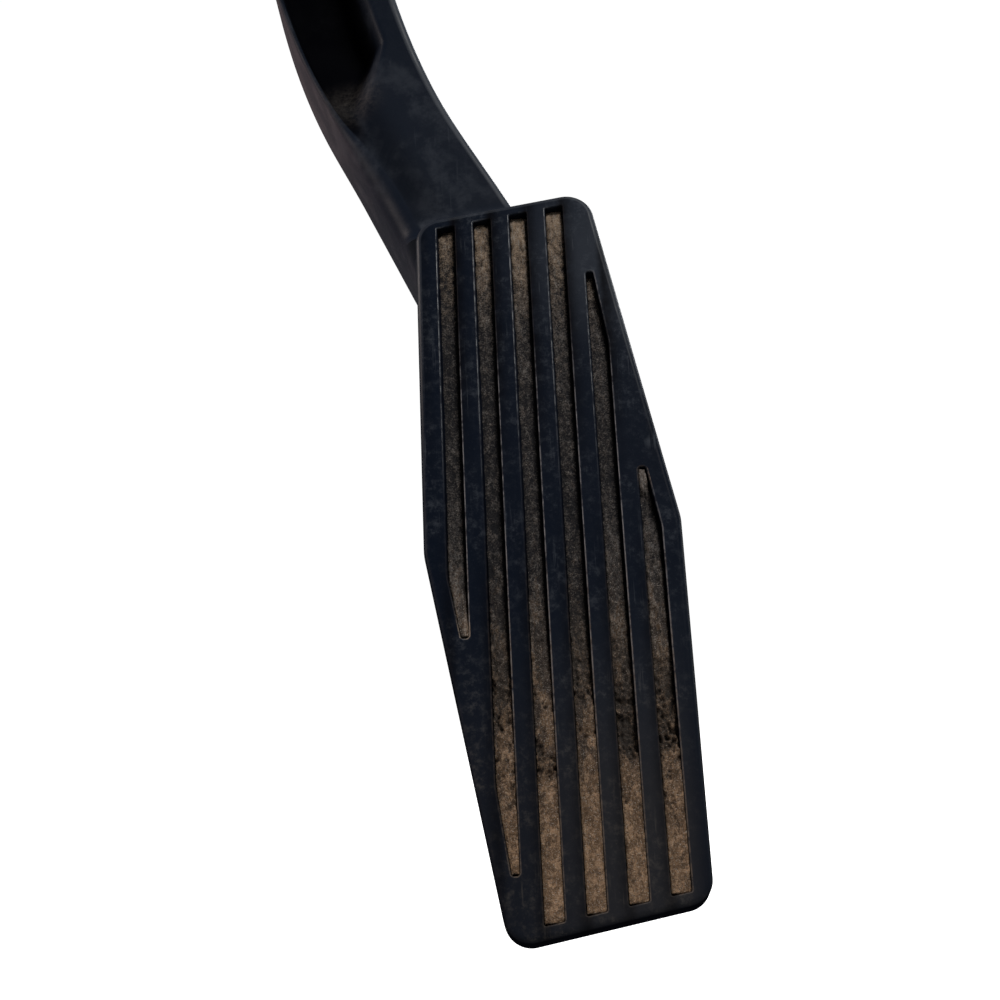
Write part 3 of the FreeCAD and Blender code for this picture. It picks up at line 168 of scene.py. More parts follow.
class ArmSettings(PropertyGroup):
    half_width: length("Half width", "Half the arm's width at the hub", 0.012)
    half_depth: length("Half depth", "Half the arm's depth", 0.012)
    face: length("Face depth", "The arm's front face behind the tread", 0.009)
    left_sweep_r: length("Left sweep", "Radius of the left edge's sideways sweep", 0.155)
    right_sweep_r: length("Right sweep", "Radius of the right edge's sideways sweep", 0.200)
    left_start: length("Left sweep start", "Height where the left edge's sweep begins", 0.174)
    right_start: length("Right sweep start", "Height where the right edge's sweep begins", 0.185)
    bend: angle("Bend", "Bend of the arm in side view", 17.0)
    bend_r: length("Bend radius", "Radius of that bend", 0.120)
    spine_tip: length("Spine tip", "Lower end of the spine behind the pad", -0.030)
    left_round: length("Left rounding", "Radius of the front left edge", 0.0010)
    left_round_low: length("Low left rounding", "The same radius near the pad", 0.0048)
    right_round: length("Right rounding", "Radius of the front right edge", 0.0013)
    wall: length("Wall", "Wall beside the back pockets", 0.003)
    rib: length("Rib", "Thickness of the back ribs", 0.002)
    pocket: length("Pocket", "Depth of the back pockets", 0.0085)
    scoop: length("Scoop", "Depth of the scoop in the front face", 0.0095)
    flare: length("Flare", "Rise of the face where it meets the pad", 0.0050)
    step: length("Ring step", "Distance between the arm's cross-sections", 0.0008)
    hub_r: length("Hub radius", "Radius of the hub", 0.015)
    hub_half: length("Hub half width", "Half the hub's width", 0.0125)
    shaft_r: length("Shaft radius", "Radius of the pivot shaft", 0.004)
    tail_r: length("Tail radius", "Radius of the tail's end", 0.0085)
    tail_half: length("Tail half width", "Half the tail's width", 0.011)
    socket_r: length("Socket radius", "Radius of the rocker's socket", 0.0051)


class SpringSettings(PropertyGroup):
    outer_wire: length("Outer wire", "Wire diameter of the outer spring", 0.0020)
    inner_wire: length("Inner wire", "Wire diameter of the inner spring", 0.0013)
    outer_turns: FloatProperty(name="Outer turns", description="Turns of the outer spring", default=7.5)
    inner_turns: FloatProperty(name="Inner turns", description="Turns of the inner spring", default=9.5)
    stroke: length("Stroke", "How much the springs shorten at full travel", 0.00779)


class FinishSettings(PropertyGroup):
    pad: colour("Pad", "Colour of the pad's plastic", (0.0056, 0.0094, 0.0190))
    arm: colour("Arm", "Colour of the arm's plastic", (0.0072, 0.0115, 0.0215))
    # The bloom colour is also the tint of the painted highlights on the pad's lips and rim and on the arm's
    # flare and edges.
    bloom: colour("Bloom", "Colour of the bluish bloom on rubbed plastic", (0.085, 0.098, 0.120))
    housing: colour("Housing", "Colour of the housing's plastic", (0.0140, 0.0140, 0.0150))
    haze: colour("Haze", "Colour of the thin film of dust on plastic", (0.095, 0.088, 0.082))
    natural: colour("Natural plastic", "Colour of the unpigmented sliding parts", (0.60, 0.57, 0.49))
    steel: colour("Steel", "Colour of the ground steel", (0.52, 0.52, 0.53))
    spring: colour("Spring steel", "Colour of the oiled spring wire", (0.22, 0.215, 0.21))
    zinc: colour("Zinc", "Colour of the zinc plated screws", (0.60, 0.62, 0.63))
    bronze: colour("Bronze", "Colour of the sintered bushes", (0.42, 0.27, 0.13))
    rubber: colour("Rubber", "Colour of the rubber parts", (0.018, 0.018, 0.019))
    lining: colour("Lining", "Colour of the friction lining", (0.17, 0.105, 0.055))
    board: colour("Board", "Colour of the solder mask", (0.012, 0.105, 0.045))


class StageSettings(PropertyGroup):
    floor_drop: length("Floor drop", "Floor below the object's lowest point", 0.30)
    floor_size: length("Floor size", "Radius of the floor", 9.0)
    lens: FloatProperty(name="Lens", description="Focal length of the camera, in millimetres", default=61.2)
    eye: FloatVectorProperty(name="Eye", description="Camera place in the pad's frame", size=3,
                             default=(-0.0011, -0.11422, 0.2942), subtype="TRANSLATION", unit="LENGTH")
    ahead: FloatVectorProperty(name="Ahead", description="Direction the camera looks in, in the pad's frame",
                               size=3, default=(-0.0262, 0.3823, -0.9237), subtype="DIRECTION")
    upward: FloatVectorProperty(name="Upward", description="The camera's upward direction in the pad's frame",
                                size=3, default=(0.0553, 0.9231, 0.3805), subtype="DIRECTION")
    fill: FloatProperty(name="Fill", description="Strength of the even light from all round", default=0.05)
    key: FloatProperty(name="Key", description="Power of the key light", default=3.2, subtype="POWER")
    left: FloatProperty(name="Left", description="Power of the left light", default=1.6, subtype="POWER")
    right: FloatProperty(name="Right", description="Power of the right light", default=2.2, subtype="POWER")
    back: FloatProperty(name="Back", description="Power of the light behind", default=6.0, subtype="POWER")


class PedalSettings(PropertyGroup):
    placing: PointerProperty(type=PlacingSettings)
    pad: PointerProperty(type=PadSettings)
    dust: PointerProperty(type=DustSettings)
    arm: PointerProperty(type=ArmSettings)
    springs: PointerProperty(type=SpringSettings)
    finish: PointerProperty(type=FinishSettings)
    stage: PointerProperty(type=StageSettings)


def settings():
    return bpy.context.scene.pedal


# ---- places ----
def pad_matrix():
    """The pad's frame: x across, y up along the pad, z out of the tread."""
    p = settings().placing
    up = Vector((0, math.sin(p.lean), math.cos(p.lean)))
    out = Vector((0, -math.cos(p.lean), math.sin(p.lean)))
    centre = PIVOT * MM - up * p.rise - out * p.proud + Vector((p.offset, 0, 0))
    turn = Matrix(((1, up.x, out.x), (0, up.y, out.y), (0, up.z, out.z))).to_4x4()
    return Matrix.Translation(centre) @ turn


def smooth(low, high, value):
    """0 below low, 1 above high, and a smooth step between."""
    t = min(max((value - low) / (high - low), 0.0), 1.0)
    return t * t * (3 - 2 * t)


def mix(a, b, t):
    """From a at t = 0 to b at t = 1."""
    return a + (b - a) * t


# ---- mesh helpers, in millimetres ----
def rounded(corners, segments):
    """Points of an outline whose corners (x, y, radius) are rounded, the same number for each corner."""
    points = []
    for i, (a, b, radius) in enumerate(corners):
        here = Vector((a, b))
        back = (Vector(corners[i - 1][:2]) - here).normalized()
        ahead = (Vector(corners[(i + 1) % len(corners)][:2]) - here).normalized()
        half = back.angle(ahead) / 2
        centre = here + (back + ahead).normalized() * (radius / math.sin(half))
        start = here + back * (radius / math.tan(half)) - centre
        end = here + ahead * (radius / math.tan(half)) - centre
        sweep = start.angle_signed(end)
        for k in range(segments + 1):
            turned = start.copy()
            turned.rotate(Matrix.Rotation(-sweep * k / segments, 2))
            points.append(centre + turned)
    return points


def inset(corners, distance):
    """The clockwise outline moved in by a distance, with its corner radii to match."""
    moved = []
    for i, (a, b, radius) in enumerate(corners):
        before, after = corners[i - 1], corners[(i + 1) % len(corners)]
        d_in = Vector((a - before[0], b - before[1])).normalized()
        d_out = Vector((after[0] - a, after[1] - b)).normalized()
        n_in, n_out = Vector((d_in.y, -d_in.x)), Vector((d_out.y, -d_out.x))
        shift = (n_in + n_out) * (distance / (1 + n_in.dot(n_out)))
        moved.append((a + shift.x, b + shift.y, max(radius - distance, 0.05)))
    return moved


def add_loop(bm, points, height):
    """The outline's points as vertices at one height."""
    return [bm.verts.new((p.x, p.y, height)) for p in points]


def bridge(bm, first, second, flip=False):
    """Quads between two closed loops of the same length."""
    n = len(first)
    for i in range(n):
        j = (i + 1) % n
        face = (first[i], first[j], second[j], second[i])
        bm.faces.new(tuple(reversed(face)) if flip else face)


def fill_between(bm, loops, up=True):
    """Flat triangles inside the first loop and outside the others."""
    edges = []
    for loop in loops:
        for i, v in enumerate(loop):
            other = loop[(i + 1) % len(loop)]
            edges.append(bm.edges.get((v, other)) or bm.edges.new((v, other)))
    made = bmesh.ops.triangle_fill(bm, use_beauty=True, use_dissolve=False, edges=edges,
                                   normal=(0, 0, 1 if up else -1))
    for face in made["geom"]:
        if isinstance(face, bmesh.types.BMFace) and (face.normal.z < 0) == up:
            face.normal_flip()


def finish_piece(name, bm, matrix, materials, sharp=35.0):
    """A smooth-shaded object from a millimetre mesh."""
    bmesh.ops.remove_doubles(bm, verts=bm.verts, dist=1e-5)
    bmesh.ops.recalc_face_normals(bm, faces=bm.faces)
    bmesh.ops.scale(bm, vec=(MM, MM, MM), verts=bm.verts)
    mesh = bpy.data.meshes.new(name)
    bm.to_mesh(mesh)
    bm.free()
    for m in materials:
        mesh.materials.append(m)
    mesh.polygons.foreach_set("use_smooth", [True] * len(mesh.polygons))
    mesh.set_sharp_from_angle(angle=math.radians(sharp))
    obj = bpy.data.objects.new(name, mesh)
    bpy.context.scene.collection.objects.link(obj)
    obj.matrix_world = matrix
    return obj


def lathe(bm, profile, axis_point, axis, side, segments):
    """A surface turned about an axis. profile is a closed outline of (along, radius) points."""
    third = axis.cross(side)
    rings = []
    for k in range(segments):
        turn = 2 * math.pi * k / segments
        spoke = side * math.cos(turn) + third * math.sin(turn)
        rings.append([bm.verts.new(axis_point + axis * a + spoke * r) for a, r in profile])
    count = len(profile)
    for k in range(segments):
        here, after = rings[k], rings[(k + 1) % segments]
        for i in range(count):
            j = (i + 1) % count
            bm.faces.new((here[i], here[j], after[j], after[i]))


# ---- node helpers ----
def new_material(name):
    """A material with its tree, shader and object coordinates."""
    m = bpy.data.materials.new(name)
    m.use_nodes = True
    tree = m.node_tree
    shader = tree.nodes["Principled BSDF"]
    place = tree.nodes.new("ShaderNodeTexCoord").outputs["Object"]
    return m, tree, shader, place


def put(tree, kind, values, **options):
    """A node whose inputs are linked to sockets or set to numbers."""
    n = tree.nodes.new(kind)
    for key, value in options.items():
        setattr(n, key, value)
    for key, value in values.items():
        if isinstance(value, bpy.types.NodeSocket):
            tree.links.new(value, n.inputs[key])
        else:
            n.inputs[key].default_value = value
    return n


def grain(tree, place, scale, detail=4.0, rough=0.55, twist=0.0):
    """Noise from 0 to 1, scale in features per metre."""
    return put(tree, "ShaderNodeTexNoise", {"Vector": place, "Scale": scale, "Detail": detail,
                                            "Roughness": rough, "Distortion": twist}).outputs["Fac"]


def stretched(tree, place, scale, turn=(0, 0, 0)):
    """The place scaled along each axis and turned, so that a pattern on it is drawn out."""
    return put(tree, "ShaderNodeMapping", {"Vector": place, "Scale": scale, "Rotation": turn}).outputs[0]


def span(tree, value, low, high, to_low=0.0, to_high=1.0):
    """value between low and high, as a smooth step."""
    return put(tree, "ShaderNodeMapRange", {"Value": value, "From Min": low, "From Max": high,
                                            "To Min": to_low, "To Max": to_high},
               interpolation_type="SMOOTHSTEP").outputs[0]


def calc(tree, kind, a, b=0.0):
    """One step of arithmetic on sockets or numbers."""
    return put(tree, "ShaderNodeMath", {0: a, 1: b}, operation=kind).outputs[0]


def times(tree, a, b):
    return calc(tree, "MULTIPLY", a, b)


def plus(tree, a, b):
    return calc(tree, "ADD", a, b)


def less(tree, a, b):
    return calc(tree, "SUBTRACT", a, b)


def most(tree, a, b):
    return calc(tree, "MAXIMUM", a, b)


def laid_on(tree, base, *marks):
    """base with each (mark, strength) added in turn."""
    for mark, strength in marks:
        base = plus(tree, base, times(tree, mark, strength))
    return base


def darker(tint, share):
    """A share of a colour's brightness, or more than the whole of it above 1."""
    return tuple(c * share for c in tint)


def blend_colour(tree, amount, a, b):
    """Colour a where amount is 0 and b where it is 1."""
    values = {0: amount, 6: a if isinstance(a, bpy.types.NodeSocket) else (*a, 1.0),
              7: b if isinstance(b, bpy.types.NodeSocket) else (*b, 1.0)}
    return put(tree, "ShaderNodeMix", values, data_type="RGBA").outputs[2]


def raise_by(tree, height, strength, distance, under=None):
    """A bump of a distance in metres, laid over another."""
    values = {"Height": height, "Strength": strength, "Distance": distance}
    if under is not None:
        values["Normal"] = under
    return put(tree, "ShaderNodeBump", values).outputs[0]


def axis_part(tree, vector, axis):
    """One of a vector's three parts, counted from 0."""
    return put(tree, "ShaderNodeSeparateXYZ", {0: vector}).outputs[axis]


def named_value(tree, name):
    """A number stored at the mesh's vertices."""
    return put(tree, "ShaderNodeAttribute", {}, attribute_name=name).outputs["Fac"]


def near(tree, place, spot, inner, outer):
    """1 within inner of a spot, 0 beyond outer."""
    gap = put(tree, "ShaderNodeVectorMath", {0: place, 1: spot}, operation="DISTANCE").outputs["Value"]
    return span(tree, gap, inner, outer, 1.0, 0.0)


def hairlines(tree, place, turn, scale, low, high):
    """Thin, long scratches in one direction."""
    lines = grain(tree, stretched(tree, place, (scale, scale * 0.03, scale), (0, 0, turn)), 1.0, 2.0, 0.5)
    breaks = span(tree, grain(tree, place, 90.0, 3.0), 0.52, 0.66)
    return times(tree, span(tree, lines, low, high), breaks)


def link(tree, value, shader, socket):
    tree.links.new(value, shader.inputs[socket])


# ---- finishes ----
# Colours that belong to one finish, as linear colours. The rib, wall and scoop shades are painted shade, and
# the arm's film colour is a dust film that also paints a sheen on the arm's left wall.
RIB_SHADE = (0.0030, 0.0024, 0.0026)
WALL_SHADE = (0.0022, 0.0022, 0.0030)
ARM_FILM_AND_SHEEN = (0.130, 0.108, 0.118)
SCOOP_SHADE = (0.0012, 0.0010, 0.0016)
ARM_SOIL = (0.30, 0.27, 0.25)
GREY_DUST = (0.165, 0.165, 0.172)
PALE_STREAK = (0.42, 0.40, 0.38)
DARK_CRUMB = (0.100, 0.066, 0.044)
DARK_STAIN = (0.040, 0.038, 0.040)
PALE_GRIT = (0.70, 0.62, 0.54)
LOW_FLOOR = (0.050, 0.043, 0.038)
COPPER_TRACK = (0.05, 0.26, 0.09)
CERAMIC = (0.36, 0.22, 0.11)
CERAMIC_SPECK = (0.27, 0.16, 0.08)
TINNED_END = (0.62, 0.62, 0.60)

# Numbers stored at the vertices of the pad, the arm and the dust.
PAD_LAYERS = ("lip", "rim", "right_lip")
# On the arm, the first number is a painted highlight on the flare round the pad and on the edges, the second
# a painted shade in and below the scoop, and the third a film of dust that on the left wall also paints a
# sheen.
ARM_LAYERS = ("worn", "deep", "film")
DUST_LAYER = "cake"

# Marked places, in metres in the pad's frame.
SCUFF_SPOT = (0.0185, 0.0195, 0.0)
# Round this place the tread is made paler, towards its upper right.
PALER_CORNER = (0.0150, 0.0600, 0.0)
DUSTY_TIPS = ((0.0181, 0.0118, 0.0), (-0.0168, -0.0182, 0.0))
SOIL_SPOT = (-0.0385, 0.1080, -0.0105)
CAPACITOR_DROP = 0.009  # the capacitors' middle below their origin


def pad_haze(tree, place, smudge, scratch, lower, wall):
    """Film, specks, scratches and scuffs on the tread, weak along its lower right border and on its wall."""
    across, along = (axis_part(tree, place, axis) for axis in (0, 1))
    film = span(tree, grain(tree, place, 480.0, 8.0, 0.78), 0.46, 0.68)
    film = times(tree, film, plus(tree, times(tree, smudge, 0.40), 0.05))
    low_film = times(tree, lower, span(tree, across, -0.012, 0.010, 0.09, 0.26))
    # Paler round the upper right corner.
    corner = near(tree, place, PALER_CORNER, 0.0030, 0.0270)
    speck = span(tree, grain(tree, place, 3200.0, 3.0, 0.6), 0.60, 0.70)
    scrapes = most(tree, hairlines(tree, place, 0.5, 1500.0, 0.52, 0.62),
                   hairlines(tree, place, -0.3, 1900.0, 0.52, 0.62))
    scuff = times(tree, near(tree, place, SCUFF_SPOT, 0.0008, 0.0075), scrapes)
    haze = laid_on(tree, plus(tree, film, low_film),
                   (corner, 0.30), (speck, 0.13), (scratch, 0.34), (scuff, 0.62))
    border = times(tree, span(tree, across, 0.0195, 0.0240), span(tree, along, 0.0, -0.04))
    # Fading the film along the lower right border and on the wall darkens them: painted shade.
    for bare, strength in ((border, 0.75), (wall, 0.90)):
        haze = times(tree, haze, less(tree, 1.0, times(tree, bare, strength)))
    return haze


def rib_shading(tree, place):
    """Soft shade on the ribs between grooves: on their left at the upper end, on their right at the lower."""
    p = settings().pad
    across, along = (axis_part(tree, place, axis) for axis in (0, 1))
    pitches = calc(tree, "DIVIDE", less(tree, across, p.groove_shift), p.groove_pitch)
    turn = calc(tree, "FRACT", plus(tree, pitches, 0.5))
    among = times(tree, span(tree, across, -0.0255, -0.0205), span(tree, across, 0.0225, 0.0190))
    upper = times(tree, span(tree, turn, 0.62, 0.20), span(tree, along, 0.004, 0.040))
    upper = times(tree, upper, span(tree, turn, 0.0, 0.22))
    lower = times(tree, span(tree, turn, 0.42, 0.78), span(tree, along, 0.010, -0.020, 0.0, 0.7))
    lower = times(tree, lower, span(tree, turn, 1.0, 0.78))
    shade = times(tree, most(tree, upper, lower), among)
    return times(tree, shade, span(tree, grain(tree, place, 190.0, 5.0, 0.7), 0.30, 0.60, 0.55, 1.0))


def lip_marks(tree, place):
    """Dust caught on the groove lips, and the painted highlights on the lips and the pad's rim."""
    along = axis_part(tree, place, 1)
    lip, rim, right_lip = (named_value(tree, name) for name in PAD_LAYERS)
    patchy = span(tree, grain(tree, place, 900.0, 6.0, 0.7), 0.34, 0.60)
    amount = span(tree, along, 0.010, -0.030, 0.03, 0.45)
    tips = most(tree, *(near(tree, place, spot, 0.0015, 0.0042) for spot in DUSTY_TIPS))
    dust = times(tree, times(tree, lip, patchy), most(tree, amount, tips))
    dust = times(tree, dust, span(tree, right_lip, 0.0, 1.0, 0.15, 0.55))
    # Highlights are painted on the right lips in the middle, on the left lips at the upper end, and on the
    # rim.
    middle = times(tree, span(tree, along, 0.050, 0.026), span(tree, along, -0.056, -0.020, 0.15, 1.0))
    right_glint = times(tree, right_lip, middle)
    left_glint = times(tree, less(tree, lip, right_lip), span(tree, along, 0.000, 0.040))
    broken = span(tree, grain(tree, place, 420.0, 6.0, 0.75), 0.40, 0.58, 0.12, 1.0)
    painted_glint = times(tree, most(tree, right_glint, left_glint), broken)
    return dust, most(tree, painted_glint, times(tree, rim, span(tree, along, 0.010, 0.060, 0.02, 0.40)))


def pad_finish():
    """Blue-black satin plastic with smudges, scratches, a dust film and dusty groove lips, with painted
    highlights on the lips and rim and painted shade on the ribs and the lower side wall.
    """
    f = settings().finish
    m, tree, shader, place = new_material("pad_satin_plastic")
    along, out = (axis_part(tree, place, axis) for axis in (1, 2))
    smudge = span(tree, grain(tree, place, 80.0, 5.0, 0.62, 0.5), 0.40, 0.62)
    scratch = most(tree, hairlines(tree, place, 0.25, 2100.0, 0.60, 0.68),
                   hairlines(tree, place, -0.9, 1700.0, 0.62, 0.70))
    lower = span(tree, along, -0.002, -0.056)
    wall = span(tree, out, -0.0001, -0.0010)
    # The side wall is darkened towards the bottom: painted shade.
    low_wall_shade = times(tree, wall, span(tree, along, 0.030, -0.030, 0.30, 0.85))
    haze = pad_haze(tree, place, smudge, scratch, lower, wall)
    shade = rib_shading(tree, place)
    lip_dust, painted_glint = lip_marks(tree, place)
    base = blend_colour(tree, haze, f.pad, blend_colour(tree, lower, f.bloom, f.haze))
    # The rib shade and the low wall shade are painted shade, and the glint is a painted highlight.
    for amount, tint in ((times(tree, shade, 0.78), RIB_SHADE), (low_wall_shade, WALL_SHADE),
                         (times(tree, painted_glint, 0.55), f.bloom), (lip_dust, settings().dust.light)):
        base = blend_colour(tree, amount, base, tint)
    link(tree, base, shader, "Base Color")
    rough = laid_on(tree, span(tree, smudge, 0.0, 1.0, 0.34, 0.42),
                    (haze, 0.4), (low_wall_shade, 0.5), (lip_dust, 0.5))
    link(tree, rough, shader, "Roughness")
    texture = raise_by(tree, grain(tree, place, 2600.0, 3.0, 0.6), 0.30, 0.00005)
    wave = raise_by(tree, grain(tree, place, 75.0, 3.0, 0.5), 0.12, 0.0006, texture)
    link(tree, raise_by(tree, less(tree, 1.0, scratch), 0.30, 0.00004, wave), shader, "Normal")
    shine = times(tree, span(tree, painted_glint, 0.0, 1.0, 0.034, 0.60), less(tree, 1.0, times(tree, shade, 0.6)))
    shine = times(tree, shine, span(tree, low_wall_shade, 0.0, 0.85, 1.0, 0.0))
    link(tree, shine, shader, "Specular IOR Level")
    return m


def arm_finish():
    """Satin black plastic with mottled handling marks, a film of dust on its sides that also paints a sheen
    on the left wall, painted highlights on the flare and edges, and painted shade in the scoop.
    """
    f = settings().finish
    m, tree, shader, place = new_material("arm_satin_plastic")
    worn, deep, film = (named_value(tree, name) for name in ARM_LAYERS)
    mottle = span(tree, grain(tree, place, 150.0, 8.0, 0.70, 0.10), 0.42, 0.62)
    cloud = span(tree, grain(tree, place, 80.0, 4.0, 0.6, 0.6), 0.40, 0.60)
    speck = span(tree, grain(tree, place, 2600.0, 3.0, 0.6), 0.62, 0.76)
    scratch = most(tree, hairlines(tree, place, -0.45, 1600.0, 0.65, 0.74),
                   hairlines(tree, place, 0.35, 1300.0, 0.66, 0.75))
    # The haze holds the mottle, specks and scratches, and the painted highlight on the flare and the edges.
    haze = laid_on(tree, times(tree, times(tree, mottle, 0.22), cloud),
                   (speck, 0.07), (scratch, 0.16), (worn, 0.85))
    # The film is dust, and on the left wall also a painted sheen.
    film = times(tree, film, span(tree, cloud, 0.0, 1.0, 0.75, 1.0))
    patch = near(tree, place, SOIL_SPOT, 0.0002, 0.0100)
    soil = times(tree, patch, span(tree, grain(tree, place, 900.0, 8.0, 0.78), 0.30, 0.72))
    soil = times(tree, soil, 0.20)
    # Over the arm's colour go the haze with its painted highlight, the film with its painted sheen, the
    # painted scoop shade and the soil.
    base = f.arm
    for amount, tint in ((haze, f.bloom), (film, ARM_FILM_AND_SHEEN), (times(tree, deep, 0.92), SCOOP_SHADE),
                         (soil, ARM_SOIL)):
        base = blend_colour(tree, amount, base, tint)
    link(tree, base, shader, "Base Color")
    rough = laid_on(tree, span(tree, cloud, 0.0, 1.0, 0.42, 0.54), (mottle, 0.06), (soil, 0.4))
    link(tree, rough, shader, "Roughness")
    texture = raise_by(tree, grain(tree, place, 1900.0, 3.0, 0.6), 0.30, 0.00006)
    wave = raise_by(tree, grain(tree, place, 110.0, 3.0, 0.5), 0.14, 0.0005, texture)
    link(tree, wave, shader, "Normal")
    shine = laid_on(tree, span(tree, deep, 0.0, 0.9, 0.075, 0.02), (worn, 0.25))
    link(tree, shine, shader, "Specular IOR Level")
    return m


def dust_finish():
    """Caked dry dust over a stained groove floor, from the amount stored in the mesh."""
    d = settings().dust
    m, tree, shader, place = new_material("caked_groove_dust")
    along = axis_part(tree, place, 1)

    def drawn_out(scale, detail, rough, low, high, *ends, turn=0.0):
        """Patches from 0 to 1 (or between the ends), longer along the grooves than across them."""
        longer = stretched(tree, place, scale, (0, 0, turn))
        return span(tree, grain(tree, longer, 1.0, detail, rough), low, high, *ends)

    fleck = grain(tree, place, 3600.0, 3.0, 0.65)
    crumb = grain(tree, place, 1250.0, 5.0, 0.70, 0.4)
    loose = laid_on(tree, named_value(tree, DUST_LAYER),
                    (less(tree, fleck, 0.5), 1.3), (less(tree, crumb, 0.5), 0.7))
    cover = span(tree, loose, 0.16, 0.92)
    grey_mid = times(tree, span(tree, along, 0.064, 0.040), span(tree, along, -0.036, -0.004))
    blotch = drawn_out((1300.0, 620.0, 1300.0), 8.0, 0.8, 0.43, 0.55)
    depth = less(tree, span(tree, along, 0.006, -0.022, 0.40, 1.0),
                 span(tree, along, -0.050, -0.064, 0.0, 0.30))
    clods = drawn_out((480.0, 230.0, 480.0), 9.0, 0.72, 0.50, 0.55)
    dirt = most(tree, times(tree, less(tree, 1.0, blotch), depth),
                times(tree, clods, span(tree, along, -0.005, -0.025, 0.0, 0.62)))
    streaks = drawn_out((2600.0, 500.0, 2600.0), 4.0, 0.6, 0.54, 0.62, 0.0, 0.45, turn=0.25)
    crumbs = span(tree, grain(tree, place, 700.0, 7.0, 0.75, 0.5), 0.505, 0.535)
    stain = drawn_out((420.0, 130.0, 420.0), 8.0, 0.72, 0.46, 0.55)
    window = times(tree, span(tree, along, -0.058, -0.036), span(tree, along, 0.020, -0.012))
    grit = span(tree, grain(tree, place, 4200.0, 2.0, 0.6), 0.58, 0.68)
    tone = blend_colour(tree, span(tree, along, 0.004, -0.060, 0.0, 0.80), d.light, d.warm)
    for amount, tint in ((times(tree, grey_mid, 0.80), GREY_DUST),
                         (dirt, darker(d.warm, 0.24)),
                         (span(tree, fleck, 0.34, 0.56, 0.45, 0.0), darker(d.warm, 0.30)),
                         (times(tree, streaks, span(tree, along, -0.050, -0.010)), PALE_STREAK),
                         (times(tree, crumbs, span(tree, along, -0.016, -0.032, 0.0, 0.55)), DARK_CRUMB),
                         (times(tree, times(tree, stain, window), 0.72), DARK_STAIN),
                         (times(tree, grit, 0.60), PALE_GRIT)):
        tone = blend_colour(tree, amount, tone, tint)
    floor = blend_colour(tree, span(tree, along, -0.008, -0.026), d.dark, LOW_FLOOR)
    link(tree, blend_colour(tree, cover, floor, tone), shader, "Base Color")
    link(tree, span(tree, cover, 0.0, 1.0, 0.62, 0.97), shader, "Roughness")
    rubble = raise_by(tree, crumb, 0.85, 0.00045)
    link(tree, raise_by(tree, fleck, 0.80, 0.00016, rubble), shader, "Normal")
    shader.inputs["Specular IOR Level"].default_value = 0.12
    return m


def moulded_finish(name, tint, rough, texture_scale, texture_depth, film, settled):
    """Grained moulded plastic with flow marks, a film of dust, and dust settled on what faces up."""
    f = settings().finish
    m, tree, shader, place = new_material(name)
    flow = span(tree, grain(tree, stretched(tree, place, (60.0, 60.0, 26.0)), 1.0, 5.0, 0.6, 0.8), 0.36, 0.68)
    cloud = span(tree, grain(tree, place, 130.0, 8.0, 0.7), 0.44, 0.78)
    facing = axis_part(tree, tree.nodes.new("ShaderNodeNewGeometry").outputs["Normal"], 2)
    up = span(tree, facing, 0.35, 0.95)
    loose = span(tree, grain(tree, place, 700.0, 6.0, 0.7), 0.38, 0.70)
    dust = times(tree, times(tree, up, loose), settled)
    haze = plus(tree, times(tree, cloud, film), dust)
    shade = blend_colour(tree, times(tree, flow, 0.5), tint, darker(tint, 0.72))
    link(tree, blend_colour(tree, haze, shade, f.haze), shader, "Base Color")
    level = span(tree, flow, 0.0, 1.0, rough - 0.05, rough + 0.07)
    link(tree, plus(tree, level, times(tree, haze, 0.6)), shader, "Roughness")
    fine = raise_by(tree, grain(tree, place, texture_scale, 3.0, 0.6), 0.35, texture_depth)
    link(tree, raise_by(tree, grain(tree, place, 120.0, 2.0, 0.5), 0.08, 0.0005, fine), shader, "Normal")
    shader.inputs["Specular IOR Level"].default_value = 0.42
    return m


def metal_finish(name, tint, rough, lines, tarnish, spots):
    """Metal with fine working lines, patches of tarnish and a few darker spots."""
    m, tree, shader, place = new_material(name)
    working = grain(tree, stretched(tree, place, lines), 1.0, 4.0, 0.6)
    patches = span(tree, grain(tree, place, 260.0, 6.0, 0.65, 0.6), 0.44, 0.72)
    pits = span(tree, grain(tree, place, 1500.0, 3.0, 0.6), 0.66, 0.74)
    dull = blend_colour(tree, times(tree, patches, 0.7), tint, tarnish)
    pitted = blend_colour(tree, times(tree, pits, spots), dull, darker(tint, 0.25))
    link(tree, pitted, shader, "Base Color")
    level = span(tree, working, 0.3, 0.7, rough - 0.08, rough + 0.08)
    link(tree, laid_on(tree, level, (patches, 0.12)), shader, "Roughness")
    link(tree, raise_by(tree, working, 0.25, 0.00004), shader, "Normal")
    shader.inputs["Metallic"].default_value = 1.0
    return m


def rubber_finish():
    """Matt black rubber with a bloom and a coarse skin."""
    f = settings().finish
    m, tree, shader, place = new_material("dull_rubber")
    bloom = span(tree, grain(tree, place, 300.0, 8.0, 0.7), 0.42, 0.74)
    link(tree, blend_colour(tree, times(tree, bloom, 0.22), f.rubber, f.haze), shader, "Base Color")
    link(tree, span(tree, bloom, 0.0, 1.0, 0.72, 0.9), shader, "Roughness")
    link(tree, raise_by(tree, grain(tree, place, 1300.0, 4.0, 0.65), 0.4, 0.0001), shader, "Normal")
    shader.inputs["Specular IOR Level"].default_value = 0.3
    return m


def lining_finish():
    """Brown friction lining with short fibres."""
    f = settings().finish
    m, tree, shader, place = new_material("fibre_lining")
    lengthwise = stretched(tree, place, (2600, 500, 900), (0.5, 0.4, 0.2))
    crosswise = stretched(tree, place, (500, 2400, 800), (0.3, 0.9, 0.7))
    lit = most(tree, span(tree, grain(tree, lengthwise, 1.0, 3.0), 0.55, 0.68),
               span(tree, grain(tree, crosswise, 1.0, 3.0), 0.57, 0.70))
    link(tree, blend_colour(tree, lit, f.lining, darker(f.lining, 2.4)), shader, "Base Color")
    link(tree, span(tree, lit, 0.0, 1.0, 0.85, 0.7), shader, "Roughness")
    link(tree, raise_by(tree, lit, 0.5, 0.0001), shader, "Normal")
    return m


